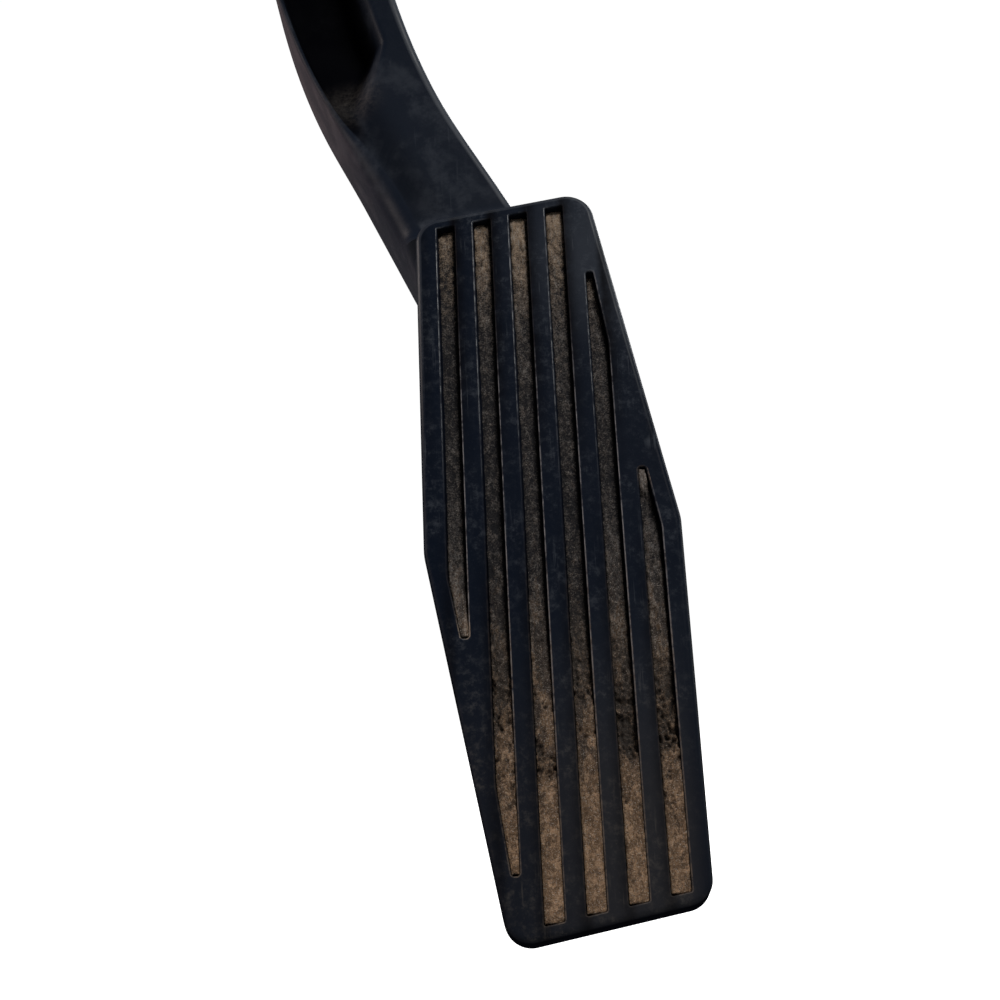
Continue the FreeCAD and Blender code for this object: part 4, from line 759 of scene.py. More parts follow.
def board_finish():
    """Solder mask over copper tracks and pads."""
    f = settings().finish
    m, tree, shader, place = new_material("green_circuit_board")
    rows = put(tree, "ShaderNodeTexBrick", {"Vector": stretched(tree, place, (1, 1, 1), (0, math.pi / 2, 0)),
                                            "Scale": 330.0, "Mortar Size": 0.035, "Bias": -0.2,
                                            "Color1": (0, 0, 0, 1), "Color2": (0, 0, 0, 1),
                                            "Mortar": (1, 1, 1, 1)}).outputs["Color"]
    track = axis_part(tree, rows, 0)
    mottle = span(tree, grain(tree, place, 500.0, 5.0), 0.4, 0.7, 0.0, 0.35)
    mask = blend_colour(tree, mottle, f.board, darker(f.board, 0.55))
    link(tree, blend_colour(tree, times(tree, track, 0.6), mask, COPPER_TRACK), shader, "Base Color")
    link(tree, span(tree, mottle, 0.0, 0.35, 0.22, 0.36), shader, "Roughness")
    link(tree, raise_by(tree, track, 0.4, 0.00003), shader, "Normal")
    return m


def ceramic_finish():
    """Fired ceramic bodies with tinned ends."""
    m, tree, shader, place = new_material("fired_ceramic")
    speck = span(tree, grain(tree, place, 4000.0, 4.0), 0.4, 0.7)
    from_middle = calc(tree, "ABSOLUTE", plus(tree, axis_part(tree, place, 2), CAPACITOR_DROP))
    end = span(tree, from_middle, 0.0010, 0.00115)
    body = blend_colour(tree, speck, CERAMIC, CERAMIC_SPECK)
    link(tree, blend_colour(tree, end, body, TINNED_END), shader, "Base Color")
    link(tree, end, shader, "Metallic")
    link(tree, span(tree, speck, 0.0, 1.0, 0.35, 0.5), shader, "Roughness")
    return m


def paint(material, *nodes):
    """Gives carried-over nodes their finish."""
    for node in nodes:
        mesh = frame["nodes"][node].data
        mesh.materials.clear()
        mesh.materials.append(material)


# ---- pad, in millimetres ----
GROOVES = 6
FACE_BAND = 0.06  # flat band of the face outside a groove's lip
WALL_DRAFT = 0.08  # how far a groove's walls lean in
FLOOR_R = 0.35  # rounding between a groove's walls and its floor
END_R = 0.35  # corner radius of a groove's straight end
TAPER_R = 9.0  # radius where a groove's taper begins
FOOT_RISE = 3.0  # thickness of the foot plate behind the pad


def pad_corners():
    """The six-sided outline, clockwise from its upper left corner."""
    p = settings().pad
    wide, radius = p.half_width / MM, p.corner_r / MM
    return [(-wide, p.top_short / MM, radius), (p.top_corner / MM, p.top_long / MM, radius * 1.08),
            (wide, p.kink / MM, p.kink_r / MM * 0.8), (wide, -p.low_short / MM, radius * 0.92),
            (-p.low_corner / MM, -p.low_long / MM, radius * 0.92), (-wide, -p.kink / MM, p.kink_r / MM)]


def end_height(a, upper):
    """Height of the pad's upper or lower end at sideways place a."""
    corners = pad_corners()
    (x0, v0, _), (x1, v1, _) = corners[0:2] if upper else corners[3:5]
    return mix(v0, v1, (a - x0) / (x1 - x0))


def groove_corners(index):
    """Outline of one groove, clockwise from its upper left, counted 0 to 5 from the left."""
    p = settings().pad
    centre = (index - (GROOVES - 1) / 2) * p.groove_pitch / MM + p.groove_shift / MM
    half, tip_w = p.groove_width / MM / 2, p.groove_tip / MM
    left, right, tip_r = centre - half, centre + half, tip_w * 0.42
    if index < 4:
        top = [(a, end_height(a, True) - p.top_margin / MM, END_R) for a in (left, right)]
    else:
        tip, taper = ((p.top_inner_tip, p.inner_taper), (p.top_outer_tip, p.outer_taper))[index - 4]
        top = [(left, tip / MM, tip_r), (left + tip_w, tip / MM, tip_r), (right, (tip - taper) / MM, TAPER_R)]
    if index > 1:
        return top + [(a, end_height(a, False) + p.low_margin / MM, END_R) for a in (right, left)]
    tip, taper = ((p.low_outer_tip, p.outer_taper), (p.low_inner_tip, p.inner_taper))[index]
    return top + [(right, -tip / MM, tip_r), (right - tip_w, -tip / MM, tip_r),
                  (left, (taper - tip) / MM, TAPER_R)]


def quarter_round(bm, corners, segments, first, size, steps, flip=False):
    """Loops of a rounded edge from the face down to the wall. A negative size rounds a hole's edge."""
    loops = [first]
    for k in range(1, steps + 1):
        t = math.pi / 2 * k / steps
        outline = rounded(inset(corners, size * (1 - math.sin(t))), segments)
        loops.append(add_loop(bm, outline, -abs(size) * (1 - math.cos(t))))
        bridge(bm, loops[-2], loops[-1], flip)
    return loops[1:]


def stepped_down(bm, corners, segments, loop, stations, flip=False):
    """Loops at the (inset, height) stations, joined to the first one. Returns the last loop."""
    for move, height in stations:
        after = add_loop(bm, rounded(inset(corners, move), segments), height)
        bridge(bm, loop, after, flip)
        loop = after
    return loop


def build_groove(bm, corners, depth, lip_r, lip_layer, right_layer):
    """Lip, walls and floor of one groove. Returns the loop in the tread's face."""
    segments = 8
    middle = (min(c[0] for c in corners) + max(c[0] for c in corners)) / 2
    face = add_loop(bm, rounded(inset(corners, -lip_r - FACE_BAND), segments), 0)
    start = add_loop(bm, rounded(inset(corners, -lip_r), segments), 0)
    bridge(bm, face, start, True)
    rings = quarter_round(bm, corners, segments, start, -lip_r, 5, True)
    # The lip layers mark where lip dust and painted highlights go.
    for v in (v for ring in rings[:-1] for v in ring):
        v[lip_layer] = 1.0
        v[right_layer] = 1.0 if v.co.x > middle else 0.0
    stations = [(0.0, -lip_r - 0.12), (WALL_DRAFT, -depth + FLOOR_R)]
    for k in range(1, 5):
        t = math.pi / 2 * k / 4
        stations.append((WALL_DRAFT + FLOOR_R * (1 - math.cos(t)), -depth + FLOOR_R * (1 - math.sin(t))))
    bm.faces.new(stepped_down(bm, corners, segments, rings[-1], stations, True))
    return face


def build_pad():
    """The pad's moulding: tread, grooves, rounded edge and the rim round the foot plate."""
    p = settings().pad
    bm = bmesh.new()
    lip_layer, rim_layer, right_layer = (bm.verts.layers.float.new(name) for name in PAD_LAYERS)
    corners = pad_corners()
    segments = 20
    edge = p.edge_r / MM
    thick, shell, rim = p.thick / MM, p.shell / MM, p.rim / MM
    outer = add_loop(bm, rounded(inset(corners, edge + 0.05), segments), 0)
    start = add_loop(bm, rounded(inset(corners, edge), segments), 0)
    bridge(bm, outer, start)
    holes = [build_groove(bm, groove_corners(i), p.groove_depth / MM, p.lip_r / MM, lip_layer, right_layer)
             for i in range(GROOVES)]
    fill_between(bm, [outer] + holes)
    rings = quarter_round(bm, corners, segments, start, edge, 8)
    # The rim layer marks the rounded edge, where a highlight is painted.
    for k, ring in enumerate(rings, 1):
        for v in ring:
            v[rim_layer] = 1.0 if k < 7 else 0.4
    skirt = ((0, -edge - 0.2), (0, -thick + 0.7), (0.03, -thick + 0.45), (0.15, -thick + 0.18),
             (0.35, -thick + 0.04), (0.6, -thick), (rim - 0.3, -thick), (rim - 0.05, -thick + 0.1),
             (rim, -thick + 0.3), (rim, -shell - 0.1), (rim + 0.1, -shell))
    fill_between(bm, [stepped_down(bm, corners, segments, rings[-1], skirt)], up=False)
    pad = finish_piece("pedal_pad_moulding", bm, pad_matrix(), [pad_finish()])
    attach(pad, "pedal")
    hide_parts("pedal_pad")
    return pad


def stake_places():
    """The five heads' places on the foot plate."""
    side = settings().pad.half_width / MM - 8.5
    return ((6.8, 63.0), (-side, 14.0), (side, -16.0), (side - 1.5, -52.0), (-5.0, -56.0))


def build_stakes(material):
    """Heat-formed heads that hold the pad to the foot plate."""
    bm = bmesh.new()
    back = -settings().pad.thick / MM - FOOT_RISE
    dome = [(0.4, 2.2), (0.0, 2.2), (0.0, 3.7), (-0.25, 3.95), (-0.6, 3.9), (-1.05, 3.3), (-1.4, 2.4),
            (-1.55, 1.5), (-1.35, 0.9), (-1.2, 0.3), (0.4, 0.3)]
    for a, b in stake_places():
        lathe(bm, dome, Vector((a, b, back)), Vector((0, 0, 1)), Vector((1, 0, 0)), 40)
    stakes = finish_piece("pad_stakes", bm, pad_matrix(), [material], 50.0)
    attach(stakes, "pedal")
    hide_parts("pedal_pad")


# ---- dust, in millimetres ----
DUST_END_GAP = 0.45  # bare floor at each end of a groove
DUST_SIDE_GAP = 0.10  # between the dust and the groove's walls
DUST_LEAST_WIDTH = 0.25
DUST_SUNK = 0.25  # how far the slab goes into the floor


def groove_span(index, v, gap):
    """Left and right inner edges of a groove at height v."""
    corners = inset(groove_corners(index), gap)
    points = rounded([(a, b, max(r, 0.05)) for a, b, r in corners], 6)
    hits = []
    for i, p in enumerate(points):
        q = points[(i + 1) % len(points)]
        if (p.y - v) * (q.y - v) <= 0 and abs(p.y - q.y) > 1e-9:
            hits.append(p.x + (q.x - p.x) * (v - p.y) / (q.y - p.y))
    return (min(hits), max(hits)) if len(hits) > 1 else None


# How much dust lies along each groove, as (height, amount) from the upper end down.
DUST_ALONG = (
    ((68, 0.56), (56, 0.42), (40, 0.28), (20, 0.30), (8, 0.36), (0, 0.50), (-10, 0.80), (-19, 0.92)),
    ((70, 0.78), (58, 0.58), (44, 0.36), (20, 0.28), (0, 0.32), (-15, 0.42), (-30, 0.60), (-45, 0.74),
     (-62, 0.92)),
    ((71, 0.85), (58, 0.66), (45, 0.42), (25, 0.30), (-8, 0.38), (-18, 0.62), (-35, 0.78), (-44, 0.66),
     (-50, 0.95), (-71, 1.0)),
    ((72, 0.78), (60, 0.60), (45, 0.42), (20, 0.30), (-15, 0.40), (-30, 0.60), (-38, 0.76), (-50, 0.92),
     (-70, 0.94)),
    ((56, 0.55), (48, 0.42), (30, 0.36), (10, 0.32), (0, 0.48), (-8, 0.66), (-16, 0.62), (-22, 0.44),
     (-28, 0.52), (-38, 0.34), (-44, 0.80), (-68, 0.90)),
    ((13, 0.60), (6, 0.45), (0, 0.44), (-10, 0.68), (-22, 0.74), (-28, 0.44), (-40, 0.50), (-48, 0.85),
     (-67, 0.90)),
)


def cake_amount(index, x, v, across):
    """How much dust lies at a place, 0 to about 1. across runs from -1 to 1 between the walls."""
    seed = settings().dust.seed + index * 13.7
    knots = DUST_ALONG[index]
    level = knots[0][1] if v > knots[0][0] else knots[-1][1]
    for (v0, a0), (v1, a1) in zip(knots, knots[1:]):
        if v1 <= v <= v0:
            level = mix(a0, a1, (v0 - v) / (v0 - v1))
    low = smooth(4.0, 34.0, -v)
    patches = noise.noise(Vector((x * 0.34 + seed, v * 0.16, 0.5))) * 0.18
    lumps = noise.fractal(Vector((x * 0.95, v * 0.60, seed)), 0.6, 2.1, 4) * 0.22
    chips = smooth(0.16, 0.44, noise.noise(Vector((x * 0.75 + 9.0, v * 0.30, seed)))) * 0.12 * low
    tip = smooth(7.0, 12.0, v) if index == 5 else smooth(12.0, 18.0, -v) if index == 0 else 0.0
    fine = noise.fractal(Vector((x * 2.4 + 3.0, v * 1.5, seed)), 0.7, 2.1, 3) * 0.16 * low
    amount = level + patches * (0.1 + level) + lumps * (0.5 + level * (1 - 0.6 * low)) + fine
    amount -= chips * smooth(0.0, 0.5, 1.1 - level)
    amount += 0.25 * tip
    # Thinner dust along the walls, most along the right wall, bares the dark floor there: partly a bare
    # strip, partly a painted shadow of the right wall.
    gap = mix(0.55, 0.30, smooth(30.0, 50.0, v)) * (1 - low)
    return amount - gap * smooth(0.62, 0.98, across) - 0.12 * smooth(0.8, 1.0, -across) * (1 - low)


def dust_height(amount, x, v, index):
    """Height of the dust over the groove's floor, brimming where the groove is packed full."""
    d, p = settings().dust, settings().pad
    seed = d.seed + index * 5.1
    brim = (p.groove_depth - d.thick) / MM - 0.45
    full = smooth(12.0, 44.0, -v)
    if index in (0, 5):
        full = max(full, smooth(6.0, 12.0, v) if index else smooth(11.0, 18.0, -v))
    thick = d.thick / MM * smooth(0.2, 0.95, amount) + brim * full * smooth(0.25, 0.7, amount)
    crumbs = noise.fractal(Vector((x * 2.6, v * 2.3, seed)), 0.5, 2.2, 3)
    return 0.06 + thick + 0.14 * (0.35 + smooth(0.2, 0.8, amount)) * crumbs


def build_dust_strip(index, material):
    """One groove's dust as a closed, lumpy slab sunk a little into the groove's floor."""
    p, d = settings().pad, settings().dust
    corners = groove_corners(index)
    low = min(c[1] for c in corners) + DUST_END_GAP
    high = max(c[1] for c in corners) - DUST_END_GAP
    rows = int((high - low) / (d.step / MM))
    columns = int(p.groove_width / d.step)
    floor = -p.groove_depth / MM
    bm = bmesh.new()
    layer = bm.verts.layers.float.new(DUST_LAYER)
    grid = []
    for i in range(rows + 1):
        v = low + (high - low) * i / rows
        edges = groove_span(index, v, DUST_SIDE_GAP)
        if edges is None or edges[1] - edges[0] < DUST_LEAST_WIDTH:
            continue
        row = []
        for k in range(columns + 1):
            t = k / columns
            x = mix(edges[0], edges[1], t)
            amount = cake_amount(index, x, v, 2 * t - 1)
            vert = bm.verts.new((x, v, floor + max(dust_height(amount, x, v, index), 0.02)))
            vert[layer] = amount
            row.append(vert)
        grid.append(row)
    for lower, upper in zip(grid, grid[1:]):
        for k in range(columns):
            bm.faces.new((lower[k], lower[k + 1], upper[k + 1], upper[k]))
    rim = grid[0] + [r[-1] for r in grid[1:]] + grid[-1][-2::-1] + [r[0] for r in grid[-2:0:-1]]
    base = []
    for vert in rim:
        under = bm.verts.new((vert.co.x, vert.co.y, floor - DUST_SUNK))
        under[layer] = vert[layer]
        base.append(under)
    bridge(bm, rim, base)
    fill_between(bm, [base], up=False)
    strip = finish_piece(f"groove_dust_{index + 1}", bm, pad_matrix(), [material], 180.0)
    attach(strip, "pedal")


# ---- arm, in millimetres ----
# The arm's edges below its bend, as (sideways place, height).
LEFT_EDGE = ((-23.0, 60.0), (-11.0, 30.0), (-5.0, -36.0))
RIGHT_EDGE = ((-3.8, 76.0), (12.5, 40.0), (7.0, -36.0))
EDGE_EASE = 7  # how far along the arm its edges' corners are eased
PAD_REACH = 90.0  # height above which the pad no longer shapes the arm
FAR_OFF = 20.0  # a gap to the pad that is too wide to matter
FLARE_R = 7.0  # radius of the flare round the pad
POCKET_LOW, POCKET_HIGH, POCKETS = 34.0, 164.0, 8
BACK_R = 0.8  # rounding of the two back edges
FRONT_COLUMNS, BACK_COLUMNS, CORNER_STEPS = 40, 52, 6


def arm_bend():
    """Heights of the bend's two ends, and depths of the centreline below it and of its arc's centre."""
    a, p = settings().arm, settings().placing
    middle = -(a.face + a.half_depth) / MM
    rise, proud, radius = p.rise / MM, p.proud / MM, a.bend_r / MM
    corner = rise - (proud - middle) / math.tan(a.bend)
    run = radius * math.tan(a.bend / 2)
    return corner - run, corner + run * math.cos(a.bend), middle, middle + radius


def arm_raw_edge(v, side):
    """Sideways place of the arm's left (-1) or right (+1) edge, measured from the pad's middle."""
    a, p = settings().arm, settings().placing
    offset = p.offset / MM
    end = arm_bend()[0]
    radius = (a.left_sweep_r if side < 0 else a.right_sweep_r) / MM
    start = (a.left_start if side < 0 else a.right_start) / MM

    def swept(height):
        drop = max(start - height, 0.0)
        return side * a.half_width / MM + radius - math.sqrt(radius ** 2 - drop ** 2) - offset

    if v >= end:
        return swept(v)
    above = (swept(end), end)
    for below in LEFT_EDGE if side < 0 else RIGHT_EDGE:
        if v >= below[1]:
            return mix(above[0], below[0], (above[1] - v) / (above[1] - below[1]))
        above = below
    return above[0]


def arm_edge(v, side):
    """The same edge with its corners eased."""
    return sum(arm_raw_edge(v + k, side) for k in range(-EDGE_EASE, EDGE_EASE + 1)) / (2 * EDGE_EASE + 1)


def arm_depths(v):
    """Front and back of the arm, out of the tread plane, at height v."""
    a = settings().arm
    low, high, middle, arc = arm_bend()
    radius = a.bend_r / MM
    if v <= low:
        centre, slope = middle, 0.0
    elif v < high:
        drop = math.sqrt(radius ** 2 - (v - low) ** 2)
        centre, slope = arc - drop, (v - low) / drop
    else:
        drop = math.sqrt(radius ** 2 - (high - low) ** 2)
        slope = math.tan(a.bend)
        centre = arc - drop + (v - high) * slope
    half = a.half_depth / MM * math.sqrt(1 + slope * slope)
    front, back = centre + half, centre - half
    shallow = mix(-a.face / MM - 4.5, back, min(max((v + 35.0) / 97.0, 0.0), 1.0))
    return front, mix(shallow, back, smooth(52.0, 68.0, v))


def pad_distance(x, v):
    """Distance outside the pad's outline, negative inside."""
    corners = pad_corners()
    radius = 4.0
    core = inset(corners, radius)
    best, inside = 1e9, True
    for i, (ax, ay, _) in enumerate(core):
        bx, by, _ = core[(i + 1) % len(core)]
        dx, dy = bx - ax, by - ay
        span_sq = dx * dx + dy * dy
        t = min(max(((x - ax) * dx + (v - ay) * dy) / span_sq, 0.0), 1.0)
        best = min(best, math.hypot(x - ax - dx * t, v - ay - dy * t))
        if dx * (v - ay) - dy * (x - ax) > 0:
            inside = False
    return (-best if inside else best) - radius


def pad_gap(x, v):
    """Distance outside the pad's outline, where the pad is near enough to matter."""
    return pad_distance(x, v) if v < PAD_REACH else FAR_OFF


def scoop_share(s, v):
    """Depth of the scoop, 0 to 1, at share s of the arm's width and height v."""
    reach = min(0.12 + 0.62 * max((v - 94.5) / 23.5, 0.0) ** 0.9, 0.78)
    bank = mix(reach * 0.6, 0.24, smooth(103.0, 118.0, v))
    across = smooth(0.03, 0.10, s) * (1 - smooth(reach - bank, reach, s))
    return smooth(92.0, 126.0, v) * across * (1 - smooth(166.0, 180.0, v))


def arm_front(x, v, left, right):
    """Out-of-plane place of the arm's front face, with its scoop and its flare at the pad."""
    a = settings().arm
    front = arm_depths(v)[0]
    s = (x - left) / (right - left)
    front -= a.scoop / MM * scoop_share(s, v)
    gap = pad_gap(x, v)
    if gap < FLARE_R:
        lift = FLARE_R - math.sqrt(max(FLARE_R ** 2 - (FLARE_R - max(gap, 0.0)) ** 2, 0.0))
        front += min(lift, a.flare / MM) * smooth(-1.8, -0.7, gap) * smooth(-26.0, -20.5, x)
    return front


def arm_back(x, v, left, right):
    """Out-of-plane place of the arm's back face, with pockets between zigzag ribs."""
    a = settings().arm
    back = arm_depths(v)[1]
    wall, rib = a.wall / MM, a.rib / MM / 2
    depth = a.pocket / MM * smooth(34.0, 74.0, v + 14.0)
    if not POCKET_LOW - 1 < v < POCKET_HIGH + 1:
        return back
    inside = smooth(wall - 0.4, wall + 0.4, x - left) * smooth(wall - 0.4, wall + 0.4, right - x)
    inside *= smooth(POCKET_LOW - 0.4, POCKET_LOW + 0.4, v) * smooth(POCKET_HIGH + 0.4, POCKET_HIGH - 0.4, v)
    if inside <= 0:
        return back
    step = (POCKET_HIGH - POCKET_LOW) / POCKETS
    middle, half = (left + right) / 2, (right - left) / 2
    slant = math.hypot(1.0, 2 * half / step)
    cell = min(max(int((v - POCKET_LOW) / step), 0), POCKETS - 1)
    for c in (cell - 1, cell, cell + 1):
        t = (v - POCKET_LOW - c * step) / step
        if -0.1 <= t <= 1.1:
            x_rib = middle + (1 if c % 2 else -1) * half * (2 * t - 1)
            inside = min(inside, smooth(rib - 0.35, rib + 0.45, abs(x - x_rib) / slant))
    return back + depth * inside


def arm_ring(v):
    """One cross-section, from the left wall over the front and round the back, with its layers' values."""
    a = settings().arm
    left, right = arm_edge(v, -1), arm_edge(v, 1)
    rl = mix(a.left_round, a.left_round_low, smooth(-108.0, -80.0, -v)) / MM
    rr, rb = a.right_round / MM, BACK_R
    points, marks = [], []
    # The left wall's film is dust and a painted sheen, paler towards the top.
    wall_film_and_sheen = 0.16 + 0.44 * smooth(78.0, 122.0, v)

    def corner(cx, cw, radius, start, worn, films):
        """A quarter turn about (cx, cw) from the start angle, its film going from one value to the other."""
        for k in range(CORNER_STEPS + 1):
            t = math.radians(start - 90.0 * k / CORNER_STEPS)
            points.append((cx + radius * math.cos(t), v, cw + radius * math.sin(t)))
            share = smooth(0.0, 0.7, k / CORNER_STEPS) if start > 0 else k / CORNER_STEPS
            marks.append((worn, 0.0, mix(films[0], films[1], share)))

    corner(left + rl, arm_front(left + rl, v, left, right) - rl, rl, 180.0, 0.02, (wall_film_and_sheen, 0.0))
    for k in range(1, FRONT_COLUMNS):
        x = mix(left + rl, right - rr, k / FRONT_COLUMNS)
        s = (x - left) / (right - left)
        points.append((x, v, arm_front(x, v, left, right)))
        # The scoop, and a valley band and a tail band along the face's left side below it, get painted shade,
        # stored as the arm's second number.
        valley = 0.45 * smooth(0.12, 0.24, s) * (1 - smooth(0.30, 0.58, s)) * smooth(70.0, 84.0, v)
        tail = 0.95 * smooth(0.02, 0.06, s) * (1 - smooth(0.14, 0.30, s)) * smooth(90.0, 100.0, v)
        painted_shade_share = max(smooth(0.0, 0.50, scoop_share(s, v)), valley, tail)
        # The first number paints a highlight on the flare round the pad; the second is the painted shade.
        marks.append((0.9 * (1 - smooth(0.5, 6.5, pad_gap(x, v))), painted_shade_share, 0.0))
    # The right front edge gets a painted highlight.
    corner(right - rr, arm_front(right - rr, v, left, right) - rr, rr, 90.0, 0.55, (0.0, 0.0))
    back = arm_depths(v)[1]
    corner(right - rb, back + rb, rb, 0.0, 0.2, (0.0, 0.0))
    for k in range(1, BACK_COLUMNS):
        x = mix(right - rb, left + rb, k / BACK_COLUMNS)
        points.append((x, v, arm_back(x, v, left, right)))
        marks.append((0.0, 0.0, 0.05))
    corner(left + rb, back + rb, rb, -90.0, 0.1, (0.05, wall_film_and_sheen))
    return points, marks


def tail_outline():
    """Side outline (y, z) of the tail from the hub to the rocker's socket, open at the top."""
    a = settings().arm
    end_r, socket = a.tail_r / MM, a.socket_r / MM
    y, z = TAIL_PIN.y, TAIL_PIN.z
    slope = math.atan2(end_r - 9.0, (TAIL_PIN - PIVOT).length)
    drop = math.atan2(PIVOT.z - z, y - PIVOT.y)
    points = []
    for k in range(13):
        t = -math.pi / 2 - drop - slope + (math.pi / 2 + drop + slope + 0.1) * k / 12
        points.append((y + end_r * math.cos(t), z + end_r * math.sin(t)))
    points = [q for q in points if q[1] < z + 0.8] + [(y + end_r - 0.1, z + 0.8), (y + socket, z + 0.8)]
    for k in range(17):
        t = math.asin(0.8 / socket) - (math.pi + 2 * math.asin(0.8 / socket)) * k / 16
        points.append((y + socket * math.cos(t), z + socket * math.sin(t)))
    points += [(y - 12.0, z + 0.8), (PIVOT.y + 8.0, z + 4.0), (PIVOT.y + 2.0, 6.0), (PIVOT.y, -9.0)]
    return points


def build_tail(bm, inverse):
    """The lever forward of the hub, with bevelled rims."""
    half = settings().arm.tail_half / MM
    part = bmesh.new()
    outline = tail_outline()
    near_side = [part.verts.new((-half, y, z)) for y, z in outline]
    far_side = [part.verts.new((half, y, z)) for y, z in outline]
    bridge(part, near_side, far_side)
    part.faces.new(near_side)
    part.faces.new(far_side)
    bmesh.ops.remove_doubles(part, verts=part.verts, dist=1e-4)
    bmesh.ops.recalc_face_normals(part, faces=part.faces)
    rims = [e for e in part.edges if abs(abs(e.verts[0].co.x) - half) < 1e-6
            and abs(e.verts[0].co.x - e.verts[1].co.x) < 1e-6]
    bmesh.ops.bevel(part, geom=rims, offset=0.35, segments=3, profile=0.5, affect="EDGES", clamp_overlap=True)
    part.transform(inverse)
    shape = bpy.data.meshes.new("tail_part")
    part.to_mesh(shape)
    part.free()
    bm.from_mesh(shape)
    bpy.data.meshes.remove(shape)


def build_hub(bm):
    """The drum round the pivot shaft, with a ring-shaped recess in each face."""
    a, p = settings().arm, settings().placing
    half, radius, bore = a.hub_half / MM, a.hub_r / MM, a.shaft_r / MM
    one_side = [(half - 0.4, bore), (half, bore + 0.4), (half, 6.6), (half - 0.25, 6.9), (half - 1.0, 7.0),
                (half - 1.2, 7.4), (half - 1.2, 11.4), (half - 1.0, 11.8), (half - 0.25, 11.9), (half, 12.2)]
    right = one_side + [(half - 1.2 * (1 - math.sin(t)), radius - 1.2 * (1 - math.cos(t)))
                        for t in (math.pi / 2 * (1 - k / 6) for k in range(7))]
    left = [(-x, r) for x, r in reversed(right)]
    place = Vector((-p.offset / MM, p.rise / MM, p.proud / MM))
    lathe(bm, right + left, place, Vector((1, 0, 0)), Vector((0, 1, 0)), 96)


def build_foot(bm):
    """The plate behind the pad."""
    corners = pad_corners()
    p = settings().pad
    thick, shell, rim = p.thick / MM, p.shell / MM, p.rim / MM
    stations = [(rim + 0.2, -thick), (0.6, -thick), (0.6, -thick - FOOT_RISE + 0.6),
                (0.68, -thick - FOOT_RISE + 0.25), (0.9, -thick - FOOT_RISE + 0.05),
                (1.3, -thick - FOOT_RISE)]
    first = add_loop(bm, rounded(inset(corners, rim + 0.2), 16), -shell - 0.02)
    last = stepped_down(bm, corners, 16, first, stations)
    fill_between(bm, [first])
    fill_between(bm, [last], up=False)


def build_arm(material):
    """The arm's moulding: spine, hub, foot plate and tail."""
    a, p = settings().arm, settings().placing
    bm = bmesh.new()
    layers = [bm.verts.layers.float.new(name) for name in ARM_LAYERS]
    low, high = a.spine_tip / MM, p.rise / MM
    count = int((high - low) / (a.step / MM))
    rings = []
    for i in range(count + 1):
        points, marks = arm_ring(low + (high - low) * i / count)
        ring = [bm.verts.new(q) for q in points]
        for vert, values in zip(ring, marks):
            for layer, value in zip(layers, values):
                vert[layer] = value
        rings.append(ring)
    for lower, upper in zip(rings, rings[1:]):
        bridge(bm, lower, upper)
    bm.faces.new(rings[0])
    bm.faces.new(rings[-1])
    build_hub(bm)
    build_foot(bm)
    inverse = Matrix.Scale(1 / MM, 4) @ pad_matrix().inverted() @ Matrix.Scale(MM, 4)
    build_tail(bm, inverse)
    arm = finish_piece("pedal_arm_moulding", bm, pad_matrix(), [material])
    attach(arm, "pedal")
    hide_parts("pedal_arm")


# ---- springs ----
TURN_STEPS, WIRE_SIDES = 48, 18
DEAD_TURNS = 0.85  # closed turns at each end
CLOSED_PITCH = 0.98  # a closed turn's pitch in wire widths
GROUND = 0.25  # wire widths ground off each end


def build_spring(name, node, wire, turns, material):
    """A compression spring with closed, ground ends, in the place of its solid."""
    low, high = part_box(node)
    low, high = low / MM, high / MM
    height = high.z - low.z
    middle = (low + high) / 2
    coil_r = (high.x - low.x) / 2 - wire / 2
    bm = bmesh.new()
    steps, sides = int(turns * TURN_STEPS), WIRE_SIDES
    live = turns - 2 * DEAD_TURNS
    closed = wire * CLOSED_PITCH
    pitch = (height - wire - 2 * DEAD_TURNS * closed) / live

    def climb(t):
        """Height of the wire's middle after t turns."""
        if t < DEAD_TURNS:
            return t * closed
        if t > turns - DEAD_TURNS:
            return DEAD_TURNS * closed + live * pitch + (t - turns + DEAD_TURNS) * closed
        return DEAD_TURNS * closed + (t - DEAD_TURNS) * pitch

    rings = []
    for i in range(steps + 1):
        t = turns * i / steps
        a = 2 * math.pi * t
        z = sum(climb(min(max(t + k * 0.05, 0), turns)) for k in (-2, -1, 0, 1, 2)) / 5
        spoke = Vector((math.cos(a), math.sin(a), 0))
        ring = []
        for k in range(sides):
            b = 2 * math.pi * k / sides
            rise = z + wire / 2 + wire / 2 * math.sin(b)
            rise = min(max(rise, GROUND * wire), height - GROUND * wire)
            rise = (rise - GROUND * wire) * height / (height - 2 * GROUND * wire)
            point = spoke * (coil_r + wire / 2 * math.cos(b)) + Vector((middle.x, middle.y, low.z + rise))
            ring.append(bm.verts.new(point))
        rings.append(ring)
    for first, second in zip(rings, rings[1:]):
        bridge(bm, first, second)
    bm.faces.new(rings[0])
    bm.faces.new(rings[-1])
    spring = finish_piece(name, bm, Matrix.Identity(4), [material], 50.0)
    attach(spring, "housing")
    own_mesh(spring)
    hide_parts(node)


# ---- stage ----
# Lights in the pad's frame: name, place, target, size, the strength's setting, tint.
LIGHTS = (
    ("key_light", (0.26, 0.46, 0.58), (0.0, 0.0, 0.0), 0.26, "key", (1.0, 0.98, 0.95)),
    ("back_light", (0.34, 0.70, -0.95), (-0.03, 0.15, -0.03), 0.50, "back", (1.0, 1.0, 1.0)),
    ("right_light", (0.55, 0.30, -0.25), (0.0, 0.12, -0.03), 0.40, "right", (1.0, 1.0, 1.0)),
    ("left_light", (-0.50, 0.26, 0.10), (0.0, 0.06, -0.02), 0.30, "left", (1.0, 0.86, 0.80)),
)
FLOOR_TONES = ((0.86, 0.86, 0.86), (0.90, 0.90, 0.90))


